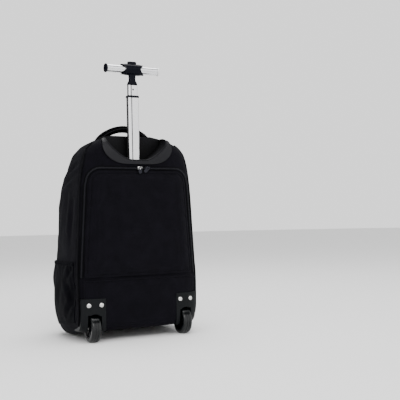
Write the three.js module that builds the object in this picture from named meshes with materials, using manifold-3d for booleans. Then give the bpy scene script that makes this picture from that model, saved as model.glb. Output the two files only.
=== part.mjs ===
// A wheeled backpack standing on its two wheels and the front of its base, with the pull handle
// half way up. Millimetres, +Z up, the wheels and the pull handle at the back, towards -Y.
import * as THREE from 'three';
import { mergeVertices } from 'three/addons/utils/BufferGeometryUtils.js';
import Module from 'manifold-3d';

const wasm = await Module();
wasm.setup();

// Bag: outer sizes of the sewn body
const BAG_TOP = 490;            // top of the body above the floor
const BAG_WIDTH = 328;
const BACK_DEPTH = 100;         // from the haul handle's plane to the back face
const FRONT_DEPTH = 144;        // from the haul handle's plane to the front face
const WIDEST_DEPTH = -25;       // where each level section is widest
const BACK_LIFT = 28;           // height of the base's back edge above the floor
const REST_DEPTH = 66;          // from here forwards the base rests on the floor
const WALL = 3;                 // padded cloth wall
const SEAT = 0.3;               // gap left between pieces that touch
const BACK_POWER = 5;           // squareness of the back corners
const PAST = 20;                // how far a cutter runs past what it cuts

// Pull handle
const POLE_INSET = 34;          // centre plane of the pole, in from the back face
const POLE_DEPTH = POLE_INSET - BACK_DEPTH;
const OUTER_TUBE = { wide: 32, deep: 19.5, bottom: 126, corner: 4.5 };
const MIDDLE_TUBE = { wide: 28, deep: 15.5, length: 300, corner: 3.5 };
const INNER_TUBE = { wide: 24, deep: 11.5, length: 280, shown: 26, corner: 3 };
const TUBE_WALL = 1.4;
const GROOVE = { place: -0.18, wide: 1.6, deep: 0.7 };   // lengthwise crease, place as a share of the width
const COLLAR = { wide: 31, deep: 18.5, high: 5, corner: 4.5 };
const LATCH_HOLE = { across: 4.5, below: 11 };
const GRIP_HEIGHT = 655.5;      // axis of the cross bar above the floor
const GRIP_LENGTH = 142;
const BAR_ACROSS = 19;
const BAR_INSERT = 17;
const CAP = { thick: 5, lip: 1.5 };    // end caps, and how far they stand out past the bars
const HUB = { across: 28, half: 31, tip: 25.4, notch: 12 };   // notch: how far the ends are cut back at the bars
const NECK = { wide: 16, deep: 11, below: 38.5, flareWide: 8, flareDeep: 2.5, corner: 3, plug: 8 };
const BUTTON = { wide: 23, deep: 12, proud: 6, travel: 3, hidden: 5 };
const SLIDE_GAP = 0.6;

// Handle tray
const TRAY_WALL = 3;
const TRAY_BEHIND = 20;         // from the pole's centre plane to the tray's far wall
const TRAY_BACK_WALL = POLE_DEPTH + TRAY_BEHIND;
const TRAY_WIDTH = 164;
const TRAY_DEEP = 59;           // from the top of the bag to the tray's floor
const TRAY_FLOOR = BAG_TOP - TRAY_DEEP;
const BEZEL_PROUD = 3;          // how far the surround and the tray's lip stand out of the cloth
const BEZEL_LAP = 20;           // how far the surround laps over the top, from the back's plane

// Wheels and their housings
const WHEEL_RADIUS = 32.5;
const WHEEL_INSET = 46.5;       // wheel centre in from the side of the bag
const WHEEL_SIDE = BAG_WIDTH / 2 - WHEEL_INSET;
const WHEEL_TUCK = 19;          // axle in from the back face
const WHEEL_DEPTH = WHEEL_TUCK - BACK_DEPTH;
const TYRE_WIDTH = 24;
const TYRE_THICK = 10;
const WHEEL_ROOM = 3.5;         // space around a wheel in its housing
const AXLE_ACROSS = 6;
const AXLE_SINK = 6;            // how far the axle sits in each cheek
const HOUSING = { inward: 26.5, outward: 31.5, above: 70.5, wall: 6, proud: 3.5 };   // from the axle
const HOUSING_TOP = WHEEL_RADIUS + HOUSING.above;
const RIVET_BELOW = 15;         // rivet centres below the top of the housing
const RIVET_SIDES = [-15.5, 14];   // rivet centres from the wheel's middle plane
const RIVET = { head: 11, high: 2.8, shank: 4, length: 8, sink: 0.6 };

// Cloth pieces sewn on the body
const COVER = { lowInset: 25, highInset: 40, underTray: 28, overHousing: 49, proud: 5.5, edge: 2.4 };
const COVER_TOP = TRAY_FLOOR - COVER.underTray;
const COVER_BOTTOM = HOUSING_TOP + COVER.overHousing;
const ZIP = { width: 9, proud: 2.4, gap: 2.4, corner: 30 };
const SEAM_GAP = 6;             // dark seam between the cover and the panel below it
const PANEL = { over: 6, proud: 1.8 };   // over the base's back edge
const POCKET = { back: 0.66, front: 0.68, low: 0.05, high: 0.345, proud: 3, hem: 9, hemProud: 5 };
const HAUL = { span: 146, rise: 36, thick: 17, deep: 26 };
const PULL = { wide: 9, long: 17, thick: 1.8, slider: 11 };
const PULL_SIDES = [1, 21];
const PULL_TURNS = [0.05, 0.75];

// Level sections of the body. Each row: height share, half width share, back share, front share,
// squareness of the front corners.
const SECTIONS = [
  [0.000, 0.830, 0.950, 0.690, 3.6],
  [0.015, 0.900, 0.985, 0.770, 3.7],
  [0.050, 0.968, 1.000, 0.880, 3.8],
  [0.100, 0.998, 1.000, 0.955, 4.0],
  [0.220, 1.000, 1.000, 1.000, 4.2],
  [0.350, 0.972, 1.000, 0.990, 4.2],
  [0.500, 0.948, 1.000, 0.925, 4.1],
  [0.640, 0.928, 1.000, 0.820, 3.9],
  [0.750, 0.903, 1.000, 0.690, 3.6],
  [0.840, 0.868, 1.000, 0.510, 3.2],
  [0.900, 0.820, 0.985, 0.350, 2.9],
  [0.940, 0.740, 0.950, 0.215, 2.7],
  [0.970, 0.605, 0.885, 0.110, 2.5],
  [0.990, 0.450, 0.790, 0.025, 2.4],
  [1.000, 0.310, 0.690, -0.030, 2.4],
];
const AROUND = 40;
const CROWD = 1.7;              // crowds the points of a section into its flat sides
const AROUND_INSIDE = 24;
const CAP_SHARES = [0.74, 0.4];

// Dents and fullness of the sides. Each row: side (-1 left, 1 right), depth share of the back depth,
// height share, reach along as a share of the back depth, reach up as a share of the bag's height,
// how deep as a share of the bag's width (negative stands proud).
const DENTS = [
  [-1, -0.62, 0.17, 0.22, 0.13, 0.036],
  [-1, 0.30, 0.16, 0.50, 0.14, -0.014],
  [-1, -0.55, 0.62, 0.26, 0.24, 0.016],
  [-1, 0.35, 0.40, 0.55, 0.05, 0.008],
  [-1, 0.25, 0.62, 0.70, 0.30, -0.024],
  [1, -0.55, 0.20, 0.24, 0.14, 0.008],
  [1, 0.30, 0.15, 0.50, 0.14, -0.012],
  [1, -0.50, 0.58, 0.28, 0.22, 0.012],
  [1, 0.40, 0.41, 0.50, 0.05, 0.008],
];

// Half outline of the tray's mouth, from the middle of its floor outwards. Each row: half width as
// a share of half the tray's width, height above the floor as a share of the tray's depth.
const MOUTH = [
  [0.200, 0.000], [0.300, 0.024], [0.400, 0.075], [0.500, 0.150], [0.600, 0.243], [0.690, 0.340],
  [0.770, 0.440], [0.840, 0.540], [0.895, 0.645], [0.935, 0.760], [0.960, 0.900], [0.975, 1.525],
];
// The outer edge of its broad surround, in the same shares.
const RIM = [
  [0.380, -0.200], [0.560, -0.176], [0.700, -0.125], [0.820, -0.050], [0.920, 0.045], [1.000, 0.155],
  [1.060, 0.280], [1.095, 0.415], [1.100, 0.560], [1.085, 0.720], [1.065, 0.890], [1.055, 1.525],
];

const group = new THREE.Group();
const cloth = new THREE.MeshStandardMaterial({ color: '#1b1b20', roughness: 0.85, metalness: 0 });
const clothPanel = new THREE.MeshStandardMaterial({ color: '#1d1d23', roughness: 0.8, metalness: 0 });
const webbing = new THREE.MeshStandardMaterial({ color: '#121214', roughness: 0.75, metalness: 0 });
const greyPlastic = new THREE.MeshStandardMaterial({ color: '#33363c', roughness: 0.5, metalness: 0 });
const housingPlastic = new THREE.MeshStandardMaterial({ color: '#23292b', roughness: 0.45, metalness: 0 });
const blackPlastic = new THREE.MeshStandardMaterial({ color: '#0e0e10', roughness: 0.4, metalness: 0 });
const tyreRubber = new THREE.MeshStandardMaterial({ color: '#101214', roughness: 0.35, metalness: 0 });
const aluminium = new THREE.MeshStandardMaterial({ color: '#c9cbce', roughness: 0.3, metalness: 1 });
const chrome = new THREE.MeshStandardMaterial({ color: '#d8dadc', roughness: 0.12, metalness: 1 });

// Closed geometry into a solid whose faces point outwards, and back
function solid(geometry) {
  const bare = geometry.clone();
  bare.deleteAttribute('normal');
  bare.deleteAttribute('uv');
  const merged = mergeVertices(bare, 1e-4);
  const position = merged.attributes.position;
  const faces = new Uint32Array(merged.index.array);
  const corner = (k) => new THREE.Vector3().fromBufferAttribute(position, faces[k]);
  let volume = 0;
  for (let k = 0; k < faces.length; k += 3) {
    volume += corner(k).dot(corner(k + 1).cross(corner(k + 2)));
  }
  if (volume < 0) {
    for (let k = 0; k < faces.length; k += 3) {
      [faces[k], faces[k + 1]] = [faces[k + 1], faces[k]];
    }
  }
  return new wasm.Manifold(new wasm.Mesh({
    numProp: 3,
    vertProperties: new Float32Array(position.array),
    triVerts: faces,
  }));
}

function place(name, body, material) {
  const data = body.getMesh();
  const geometry = new THREE.BufferGeometry();
  geometry.setAttribute('position', new THREE.BufferAttribute(new Float32Array(data.vertProperties), 3));
  geometry.setIndex(new THREE.BufferAttribute(new Uint32Array(data.triVerts), 1));
  geometry.computeVertexNormals();
  const mesh = new THREE.Mesh(geometry, material);
  mesh.name = name;
  group.add(mesh);
  return mesh;
}

// Solid through a row of rings with the same number of points, closed by a point at each end
function throughRings(rings, first, last) {
  const count = rings[0].length;
  const points = rings.flat();
  const start = points.push(first) - 1;
  const end = points.push(last) - 1;
  const faces = [];
  for (let k = 0; k < count; k += 1) {
    const next = (k + 1) % count;
    faces.push(start, next, k);
    for (let row = 0; row + 1 < rings.length; row += 1) {
      const low = row * count;
      const high = low + count;
      faces.push(low + k, low + next, high + next, low + k, high + next, high + k);
    }
    const top = (rings.length - 1) * count;
    faces.push(end, top + k, top + next);
  }
  return solidFromFaces(points, faces);
}

function solidFromFaces(points, faces) {
  const geometry = new THREE.BufferGeometry();
  geometry.setAttribute('position', new THREE.Float32BufferAttribute(points.flatMap((p) => [p.x, p.y, p.z]), 3));
  geometry.setIndex(faces);
  return solid(geometry);
}

// Closed sheet over a grid: face(u, v, 0) is its inner side and face(u, v, 1) its outer side
function sheetSolid(columns, rows, face) {
  const points = [];
  for (let side = 0; side < 2; side += 1) {
    for (let row = 0; row <= rows; row += 1) {
      for (let column = 0; column <= columns; column += 1) {
        points.push(face(column / columns, row / rows, side));
      }
    }
  }
  const wide = columns + 1;
  const half = wide * (rows + 1);
  const faces = [];
  const quad = (a, b, c, d) => faces.push(a, b, c, a, c, d);
  for (let row = 0; row < rows; row += 1) {
    for (let column = 0; column < columns; column += 1) {
      const at = row * wide + column;
      quad(at, at + wide, at + wide + 1, at + 1);
      quad(half + at, half + at + 1, half + at + wide + 1, half + at + wide);
    }
  }
  for (let column = 0; column < columns; column += 1) {
    const far = rows * wide + column;
    quad(column, column + 1, half + column + 1, half + column);
    quad(far + 1, far, half + far, half + far + 1);
  }
  for (let row = 0; row < rows; row += 1) {
    const near = row * wide;
    const far = near + columns;
    quad(near + wide, near, half + near, half + near + wide);
    quad(far, far + wide, half + far + wide, half + far);
  }
  return solidFromFaces(points, faces);
}

function block(x0, x1, y0, y1, z0, z1) {
  const geometry = new THREE.BoxGeometry(x1 - x0, y1 - y0, z1 - z0);
  geometry.translate((x0 + x1) / 2, (y0 + y1) / 2, (z0 + z1) / 2);
  return solid(geometry);
}

function roundedShape(wide, high, corner) {
  const shape = new THREE.Shape();
  const x = wide / 2;
  const y = high / 2;
  shape.moveTo(-x + corner, -y);
  shape.lineTo(x - corner, -y);
  shape.absarc(x - corner, -y + corner, corner, -Math.PI / 2, 0);
  shape.absarc(x - corner, y - corner, corner, 0, Math.PI / 2);
  shape.absarc(-x + corner, y - corner, corner, Math.PI / 2, Math.PI);
  shape.absarc(-x + corner, -y + corner, corner, Math.PI, Math.PI * 1.5);
  return shape;
}

// Upright bar of rounded section centred on the pole, from one height to another
function upright(wide, deep, corner, bottom, top) {
  const geometry = new THREE.ExtrudeGeometry(roundedShape(wide, deep, corner), {
    depth: top - bottom, bevelEnabled: false, curveSegments: 3, steps: 1,
  });
  geometry.translate(0, POLE_DEPTH, bottom);
  return solid(geometry);
}

// Round piece along X, from rows of distance along it and radius
function roundAlongX(profile, x, y, z, sides = 32) {
  const outline = profile.map(([along, radius]) => new THREE.Vector2(radius, along));
  const geometry = new THREE.LatheGeometry(outline, sides);
  geometry.rotateZ(-Math.PI / 2);
  geometry.translate(x, y, z);
  return solid(geometry);
}

function rodAlongX(from, to, radius, y, z, sides = 32) {
  return roundAlongX([[from, 0], [from, radius], [to, radius], [to, 0]], 0, y, z, sides);
}

// Body surface
function sectionAt(share) {
  const at = Math.min(Math.max(share, 0), 1);
  let row = 0;
  while (row + 2 < SECTIONS.length && SECTIONS[row + 1][0] < at) {
    row += 1;
  }
  const low = SECTIONS[row];
  const high = SECTIONS[row + 1];
  const part = (at - low[0]) / (high[0] - low[0]);
  const [, wide, back, front, power] = low.map((value, k) => value + (high[k] - value) * part);
  return { wide: wide * BAG_WIDTH / 2, back: back * BACK_DEPTH, front: front * FRONT_DEPTH, power };
}

function smooth(value) {
  const at = Math.min(Math.max(value, 0), 1);
  return at * at * (3 - 2 * at);
}

// The base slopes down from its lifted back edge to the floor under the front of the bag
function drop(depth, share) {
  const slope = (depth + BACK_DEPTH) / (REST_DEPTH + BACK_DEPTH);
  return BACK_LIFT * Math.min(Math.max(slope, 0), 1) * (1 - smooth(share / 0.2));
}

function heightAt(share, grow = 0) {
  return BACK_LIFT - grow + share * (BAG_TOP + 2 * grow - BACK_LIFT);
}

function shareAt(height) {
  return (height - BACK_LIFT) / (BAG_TOP - BACK_LIFT);
}

// Moves a point of the sides in or out by the dents near it
function dented(point) {
  const side = Math.sign(point.x);
  const share = shareAt(point.z);
  const inward = DENTS.filter(([at]) => at === side).reduce((sum, [, y, z, along, up, deep]) => sum
    + deep * BAG_WIDTH * Math.exp(-(((point.y / BACK_DEPTH - y) / along) ** 2) - ((share - z) / up) ** 2), 0);
  const outside = Math.min(Math.abs(point.x) / (BAG_WIDTH / 2), 1) ** 4;
  return point.setX(point.x - side * inward * outside);
}

function bodyPoint(angle, share, grow = 0, scale = 1) {
  const at = sectionAt(share);
  const across = Math.cos(angle);
  const along = Math.sin(angle);
  const power = along < 0 ? BACK_POWER : at.power;
  const reach = along < 0 ? at.back + WIDEST_DEPTH : at.front - WIDEST_DEPTH;
  const x = (at.wide + grow) * scale * Math.sign(across) * Math.abs(across) ** (2 / power);
  const y = WIDEST_DEPTH + (reach + grow) * scale * Math.sign(along) * Math.abs(along) ** (2 / power);
  return dented(new THREE.Vector3(x, y, heightAt(share, grow) - drop(y, share)));
}

// Angle of one of the points around a section
function turnAt(k, around) {
  const quarter = around / 4;
  const step = k % quarter;
  const number = Math.floor(k / quarter);
  const part = number % 2 === 0 ? step / quarter : 1 - step / quarter;
  const turned = part ** CROWD;
  return (number + (number % 2 === 0 ? turned : 1 - turned)) * Math.PI / 2;
}

function hull(grow, around = AROUND, skip = 1) {
  const rings = [];
  const ring = (share, scale) => Array.from({ length: around },
    (_, k) => bodyPoint(turnAt(k, around), share, grow, scale));
  for (const scale of [...CAP_SHARES].reverse()) {
    rings.push(ring(0, scale));
  }
  for (const [share] of SECTIONS.filter((_, k) => k % skip === 0)) {
    rings.push(ring(share, 1));
  }
  for (const scale of CAP_SHARES) {
    rings.push(ring(1, scale));
  }
  return throughRings(rings, bodyPoint(0, 0, grow, 0), bodyPoint(0, 1, grow, 0));
}

// Depth of the back face at a place across and up
function backFace(x, z, grow = 0) {
  const at = sectionAt(shareAt(z));
  const part = Math.min(Math.abs(x) / (at.wide + grow), 0.999);
  return WIDEST_DEPTH - (at.back + WIDEST_DEPTH + grow) * (1 - part ** BACK_POWER) ** (1 / BACK_POWER);
}

// Side of the body at a depth and a height share
function sidePoint(side, y, share, grow) {
  const at = sectionAt(share);
  const behind = y < WIDEST_DEPTH;
  const power = behind ? BACK_POWER : at.power;
  const reach = behind ? at.back + WIDEST_DEPTH + grow : at.front - WIDEST_DEPTH + grow;
  const part = Math.min(Math.abs(y - WIDEST_DEPTH) / reach, 0.999);
  const x = side * (at.wide + grow) * (1 - part ** power) ** (1 / power);
  return dented(new THREE.Vector3(x, y, heightAt(share) - drop(y, share)));
}

// Tray: a U-shaped mouth open at the top and at the back
function outlineAround(half, grow) {
  const right = half.map(([x, z]) => new THREE.Vector2(x * TRAY_WIDTH / 2, TRAY_FLOOR + z * TRAY_DEEP));
  const left = right.map((p) => new THREE.Vector2(-p.x, p.y)).reverse();
  const line = [...left, ...right];
  return line.map((p, k) => {
    const before = line[Math.max(k - 1, 0)];
    const after = line[Math.min(k + 1, line.length - 1)];
    const run = after.clone().sub(before).normalize();
    return new THREE.Vector2(p.x + run.y * grow, p.y - run.x * grow);
  });
}

// Everything inside an outline, from behind the bag to a depth
function through(half, grow, depth) {
  const rings = [-BACK_DEPTH - PAST, depth].map((y) => outlineAround(half, grow).map((p) => new THREE.Vector3(p.x, y, p.y)));
  const centre = (ring) => new THREE.Vector3(0, ring[0].y, BAG_TOP);
  return throughRings(rings, centre(rings[0]), centre(rings[1]));
}

function mouth(grow) {
  return through(MOUTH, grow, TRAY_BACK_WALL + grow);
}

const outside = hull(0);
const seatHull = hull(SEAT);

// Block that a wheel housing is cut from, grown on its sides by a clearance
function housingBlock(side, grow, below) {
  const right = block(WHEEL_SIDE - HOUSING.inward - grow, WHEEL_SIDE + HOUSING.outward + grow, -BACK_DEPTH - PAST,
    WHEEL_DEPTH + WHEEL_RADIUS + WHEEL_ROOM + HOUSING.wall + grow, BACK_LIFT - HOUSING.proud - below, HOUSING_TOP + grow);
  return side > 0 ? right : right.mirror([1, 0, 0]);
}

function grownHousing(side) {
  return housingBlock(side, SEAT, PAST);
}

// Body
const shell = outside.subtract(hull(-WALL, AROUND_INSIDE, 2)).subtract(mouth(TRAY_WALL + SEAT))
  .subtract(grownHousing(1)).subtract(grownHousing(-1));
place('body_shell', shell, cloth);

// Tray and its rim
const middleHole = upright(MIDDLE_TUBE.wide + 2 * SLIDE_GAP, MIDDLE_TUBE.deep + 2 * SLIDE_GAP,
  MIDDLE_TUBE.corner + SLIDE_GAP, TRAY_FLOOR - PAST, TRAY_FLOOR + PAST);
const tray = mouth(TRAY_WALL).subtract(mouth(0)).intersect(hull(BEZEL_PROUD)).subtract(middleHole);
place('handle_tray', tray, greyPlastic);
const bezel = through(RIM, 0, -BACK_DEPTH + BEZEL_LAP).subtract(mouth(TRAY_WALL + SEAT))
  .intersect(hull(BEZEL_PROUD)).subtract(seatHull);
place('tray_rim', bezel, greyPlastic);

// Padded cover of the back, its zip, and the panel below it
function coverHalf(z) {
  const up = (z - COVER_BOTTOM) / (COVER_TOP - COVER_BOTTOM);
  return BAG_WIDTH / 2 - COVER.lowInset - (COVER.highInset - COVER.lowInset) * up;
}
const coverRows = [0, 0.05, 0.12, 0.5, 0.8, 0.885, 0.92, 0.955, 0.985, 1];
const coverCorner = ZIP.corner - ZIP.gap;
const cover = sheetSolid(8, coverRows.length - 1, (u, v, side) => {
  const share = coverRows[Math.round(v * (coverRows.length - 1))];
  const z = COVER_BOTTOM + share * (COVER_TOP - COVER_BOTTOM);
  const above = Math.max(z - COVER_TOP + coverCorner, 0);
  const tuck = coverCorner - Math.sqrt(Math.max(coverCorner ** 2 - above ** 2, 0));
  const x = (2 * u - 1) * (coverHalf(z) - tuck);
  const edge = Math.min(1, Math.min(u, 1 - u) * 8, Math.min(share, 1 - share) * 9);
  const proud = COVER.edge + (COVER.proud - COVER.edge) * smooth(edge);
  return new THREE.Vector3(x, backFace(x, z, side ? proud : -1.5), z);
}).subtract(seatHull);
place('back_cover', cover, clothPanel);

// Zip band: up one side of the cover, across its top and down the other side. Its points are given
// in order as a side, a rounded corner and half of the top, then the same mirrored.
function zipEdge(offset) {
  const corner = ZIP.corner + offset;
  const centreAcross = coverHalf(COVER_TOP) + ZIP.gap - ZIP.corner;
  const centreUp = COVER_TOP + ZIP.gap - ZIP.corner;
  const half = [];
  for (let k = 0; k < 5; k += 1) {
    const z = COVER_BOTTOM + (centreUp - COVER_BOTTOM) * k / 5;
    half.push([coverHalf(z) + ZIP.gap + offset, z]);
  }
  for (let k = 0; k <= 6; k += 1) {
    const angle = k / 6 * Math.PI / 2;
    half.push([centreAcross + corner * Math.cos(angle), centreUp + corner * Math.sin(angle)]);
  }
  half.push([centreAcross / 2, centreUp + corner]);
  return [...half.map(([x, z]) => [-x, z]), ...half.reverse()];
}
const zipEdges = [zipEdge(0), zipEdge(ZIP.width)];
const zipSteps = zipEdges[0].length - 1;
const zip = sheetSolid(zipSteps, 1, (u, v, side) => {
  const [x, z] = zipEdges[v][Math.round(u * zipSteps)];
  return new THREE.Vector3(x, backFace(x, z, side ? ZIP.proud : -2), z);
}).subtract(seatHull);
place('cover_zip', zip, webbing);

const panelTop = COVER_BOTTOM - SEAM_GAP;
const panelBottom = BACK_LIFT + PANEL.over;
const panel = sheetSolid(8, 4, (u, v, side) => {
  const z = panelBottom + v * (panelTop - panelBottom);
  const x = (2 * u - 1) * (coverHalf(COVER_BOTTOM) + ZIP.gap);
  return new THREE.Vector3(x, backFace(x, z, side ? PANEL.proud : -1.5), z);
}).subtract(seatHull).subtract(grownHousing(1)).subtract(grownHousing(-1));
place('lower_panel', panel, clothPanel);

// Side pockets with a gathered hem at the mouth, in rows that follow the body's own sections
function pocket(side) {
  const hemShare = POCKET.hem / (BAG_TOP - BACK_LIFT);
  const top = POCKET.high - hemShare;
  const between = SECTIONS.map(([share]) => share).filter((share) => share > POCKET.low && share < top);
  const rows = [[POCKET.low, POCKET.proud], ...between.map((share) => [share, POCKET.proud]),
    [top, POCKET.proud], [top + hemShare * 0.25, POCKET.hemProud], [top + hemShare * 0.75, POCKET.hemProud],
    [POCKET.high, POCKET.proud]];
  return sheetSolid(8, rows.length - 1, (u, v, out) => {
    const y = u * POCKET.front * FRONT_DEPTH - (1 - u) * POCKET.back * BACK_DEPTH;
    const [share, proud] = rows[Math.round(v * (rows.length - 1))];
    return sidePoint(side, y, share, out ? proud : -2);
  }).subtract(seatHull).subtract(grownHousing(side));
}
place('side_pocket_left', pocket(-1), cloth);
place('side_pocket_right', pocket(1), cloth);

// Haul handle: a padded arch sewn to the top of the body
const haulPath = new THREE.CatmullRomCurve3([
  [-0.5, -0.42], [-0.47, 0.02], [-0.36, 0.5], [-0.18, 0.87], [0, 1],
  [0.18, 0.87], [0.36, 0.5], [0.47, 0.02], [0.5, -0.42],
].map(([across, up]) => new THREE.Vector3(across * HAUL.span, 0, BAG_TOP - 10 + up * HAUL.rise)));
const haulShape = new THREE.Shape();
haulShape.absellipse(0, 0, HAUL.deep / 2, HAUL.thick / 2, 0, Math.PI * 2);
const haulGeometry = new THREE.ExtrudeGeometry(haulShape, {
  steps: 20, extrudePath: haulPath, curveSegments: 4, bevelEnabled: false,
});
place('haul_handle', solid(haulGeometry).subtract(seatHull), webbing);

// Wheels
function wheelSet(side, word) {
  const x = side * WHEEL_SIDE;
  const cheek = TYRE_WIDTH / 2 + WHEEL_ROOM;
  const room = WHEEL_RADIUS + WHEEL_ROOM;
  const slotGeometry = new THREE.ExtrudeGeometry(roundedShape(2 * cheek, 2 * room - WHEEL_ROOM, cheek - 1), {
    depth: BACK_DEPTH, bevelEnabled: false, curveSegments: 5,
  });
  slotGeometry.rotateX(Math.PI / 2);
  slotGeometry.translate(x, WHEEL_DEPTH, WHEEL_RADIUS);
  const slot = solid(slotGeometry).add(rodAlongX(x - cheek, x + cheek, room, WHEEL_DEPTH, WHEEL_RADIUS, 32));
  const axleHalf = cheek + AXLE_SINK;
  const axleHole = rodAlongX(x - axleHalf - SEAT, x + axleHalf + SEAT, AXLE_ACROSS / 2 + SEAT,
    WHEEL_DEPTH, WHEEL_RADIUS, 12);
  let housing = housingBlock(side, 0, 0).intersect(hull(HOUSING.proud))
    .subtract(slot).subtract(axleHole);
  const rivetHeight = HOUSING_TOP - RIVET_BELOW;
  RIVET_SIDES.forEach((across, k) => {
    const rx = side * (WHEEL_SIDE + across);
    const face = backFace(rx, rivetHeight, HOUSING.proud);
    const slope = (backFace(rx + 3, rivetHeight, HOUSING.proud) - backFace(rx - 3, rivetHeight, HOUSING.proud)) / 6;
    const seatAt = (geometry) => solid(geometry.rotateZ(Math.atan(slope)).translate(rx, face, rivetHeight));
    const half = RIVET.head / 2;
    const hole = new THREE.CylinderGeometry(RIVET.shank / 2 + SEAT, RIVET.shank / 2 + SEAT, 2 * RIVET.length + 2, 10);
    const spotFace = new THREE.CylinderGeometry(half + SEAT, half + SEAT, 6, 16);
    spotFace.translate(0, RIVET.sink - 3, 0);
    housing = housing.subtract(seatAt(hole)).subtract(seatAt(spotFace));
    const under = RIVET.sink - SEAT;
    const profile = [[0, RIVET.length], [RIVET.shank / 2, RIVET.length], [RIVET.shank / 2, under], [half, under],
      [half * 0.93, under - RIVET.high * 0.45], [half * 0.62, under - RIVET.high * 0.85], [0, under - RIVET.high]];
    const rivet = new THREE.LatheGeometry(profile.map(([r, depth]) => new THREE.Vector2(r, depth)), 12);
    place(`rivet_${word}_${k + 1}`, seatAt(rivet), chrome);
  });
  place(`wheel_housing_${word}`, housing, housingPlastic);
  place(`axle_${word}`, rodAlongX(x - axleHalf, x + axleHalf, AXLE_ACROSS / 2, WHEEL_DEPTH, WHEEL_RADIUS, 12),
    aluminium);
  const bore = AXLE_ACROSS / 2 + SEAT;
  const rimRadius = WHEEL_RADIUS - TYRE_THICK;
  const half = TYRE_WIDTH / 2;
  place(`wheel_core_${word}`, roundAlongX([
    [-half, bore], [-half, bore + 5], [-half + 3, bore + 6], [-half + 3, rimRadius - 4], [-half + 1, rimRadius],
    [half - 1, rimRadius], [half - 3, rimRadius - 4], [half - 3, bore + 6], [half, bore + 5], [half, bore],
    [-half, bore],
  ], x, WHEEL_DEPTH, WHEEL_RADIUS, 18), blackPlastic);
  const tread = [[-1, 0], [-1, 0.5], [-0.85, 0.84], [-0.4, 1], [0.4, 1], [0.85, 0.84], [1, 0.5], [1, 0]];
  const tyreInner = rimRadius + SEAT;
  const tyreProfile = tread.map(([along, up]) => [along * half, tyreInner + up * (WHEEL_RADIUS - tyreInner)]);
  place(`tyre_${word}`, roundAlongX([...tyreProfile, tyreProfile[0]], x, WHEEL_DEPTH, WHEEL_RADIUS, 26), tyreRubber);
}
wheelSet(-1, 'left');
wheelSet(1, 'right');

// Telescopic pole
function tube(size, bottom, top) {
  const bar = upright(size.wide, size.deep, size.corner, bottom, top);
  const hollow = upright(size.wide - 2 * TUBE_WALL, size.deep - 2 * TUBE_WALL, size.corner - TUBE_WALL,
    bottom - PAST, top + PAST);
  return bar.subtract(hollow);
}
function grooved(body, size, bottom, top) {
  const x = size.wide * GROOVE.place;
  const back = POLE_DEPTH - size.deep / 2;
  return body.subtract(block(x - GROOVE.wide / 2, x + GROOVE.wide / 2, back - PAST, back + GROOVE.deep,
    bottom - PAST, top + PAST));
}
const outerTop = TRAY_FLOOR - TRAY_WALL - SEAT;
const hubBottom = GRIP_HEIGHT - NECK.below;
const innerTop = hubBottom - SEAT;
const middleTop = hubBottom - INNER_TUBE.shown - COLLAR.high - SEAT;
place('outer_tube', tube(OUTER_TUBE, OUTER_TUBE.bottom, outerTop), aluminium);
const middleBottom = middleTop - MIDDLE_TUBE.length;
place('middle_tube', grooved(tube(MIDDLE_TUBE, middleBottom, middleTop), MIDDLE_TUBE,
  middleBottom, middleTop), aluminium);
const collarBottom = middleTop + SEAT;
place('middle_collar', upright(COLLAR.wide, COLLAR.deep, COLLAR.corner, collarBottom, collarBottom + COLLAR.high)
  .subtract(upright(INNER_TUBE.wide + 2 * SLIDE_GAP, INNER_TUBE.deep + 2 * SLIDE_GAP, INNER_TUBE.corner + SLIDE_GAP,
    collarBottom - PAST, collarBottom + COLLAR.high + PAST)), blackPlastic);
const innerBottom = innerTop - INNER_TUBE.length;
const latch = new THREE.CylinderGeometry(LATCH_HOLE.across / 2, LATCH_HOLE.across / 2, INNER_TUBE.deep, 16);
latch.translate(0, POLE_DEPTH - INNER_TUBE.deep / 2, innerTop - LATCH_HOLE.below);
place('inner_tube', grooved(tube(INNER_TUBE, innerBottom, innerTop), INNER_TUBE, innerBottom, innerTop)
  .subtract(solid(latch)), aluminium);

// Grip: hub on a flared neck, two bar halves with end caps, and the push button
const hubRadius = HUB.across / 2;
const neckRings = [
  [0, 1, 1], [0.1, 0.96, 0.98], [0.22, 0.4, 0.5], [0.4, 0, 0], [1, 0, 0],
].map(([up, wider, deeper]) => {
  const wide = NECK.wide + wider * NECK.flareWide;
  const deep = NECK.deep + deeper * NECK.flareDeep;
  const z = hubBottom + up * (GRIP_HEIGHT - 4 - hubBottom);
  const shape = roundedShape(wide, deep, NECK.corner).getPoints(2);
  shape.pop();
  return shape.map((p) => new THREE.Vector3(p.x, POLE_DEPTH + p.y, z));
});
const neck = throughRings(neckRings, new THREE.Vector3(0, POLE_DEPTH, hubBottom),
  new THREE.Vector3(0, POLE_DEPTH, GRIP_HEIGHT - 4));
const plug = upright(INNER_TUBE.wide - 2 * TUBE_WALL - 2 * SEAT, INNER_TUBE.deep - 2 * TUBE_WALL - 2 * SEAT - 2 * GROOVE.deep,
  1.5, hubBottom - NECK.plug, hubBottom + 5);
const wing = HUB.half;
const tip = HUB.tip / 2;
const hubBarrel = roundAlongX([
  [-wing, 0], [-wing, tip], [-wing + 8, tip + 0.4], [-wing + 14, hubRadius],
  [wing - 14, hubRadius], [wing - 8, tip + 0.4], [wing, tip], [wing, 0],
], 0, POLE_DEPTH, GRIP_HEIGHT, 20);
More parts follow.
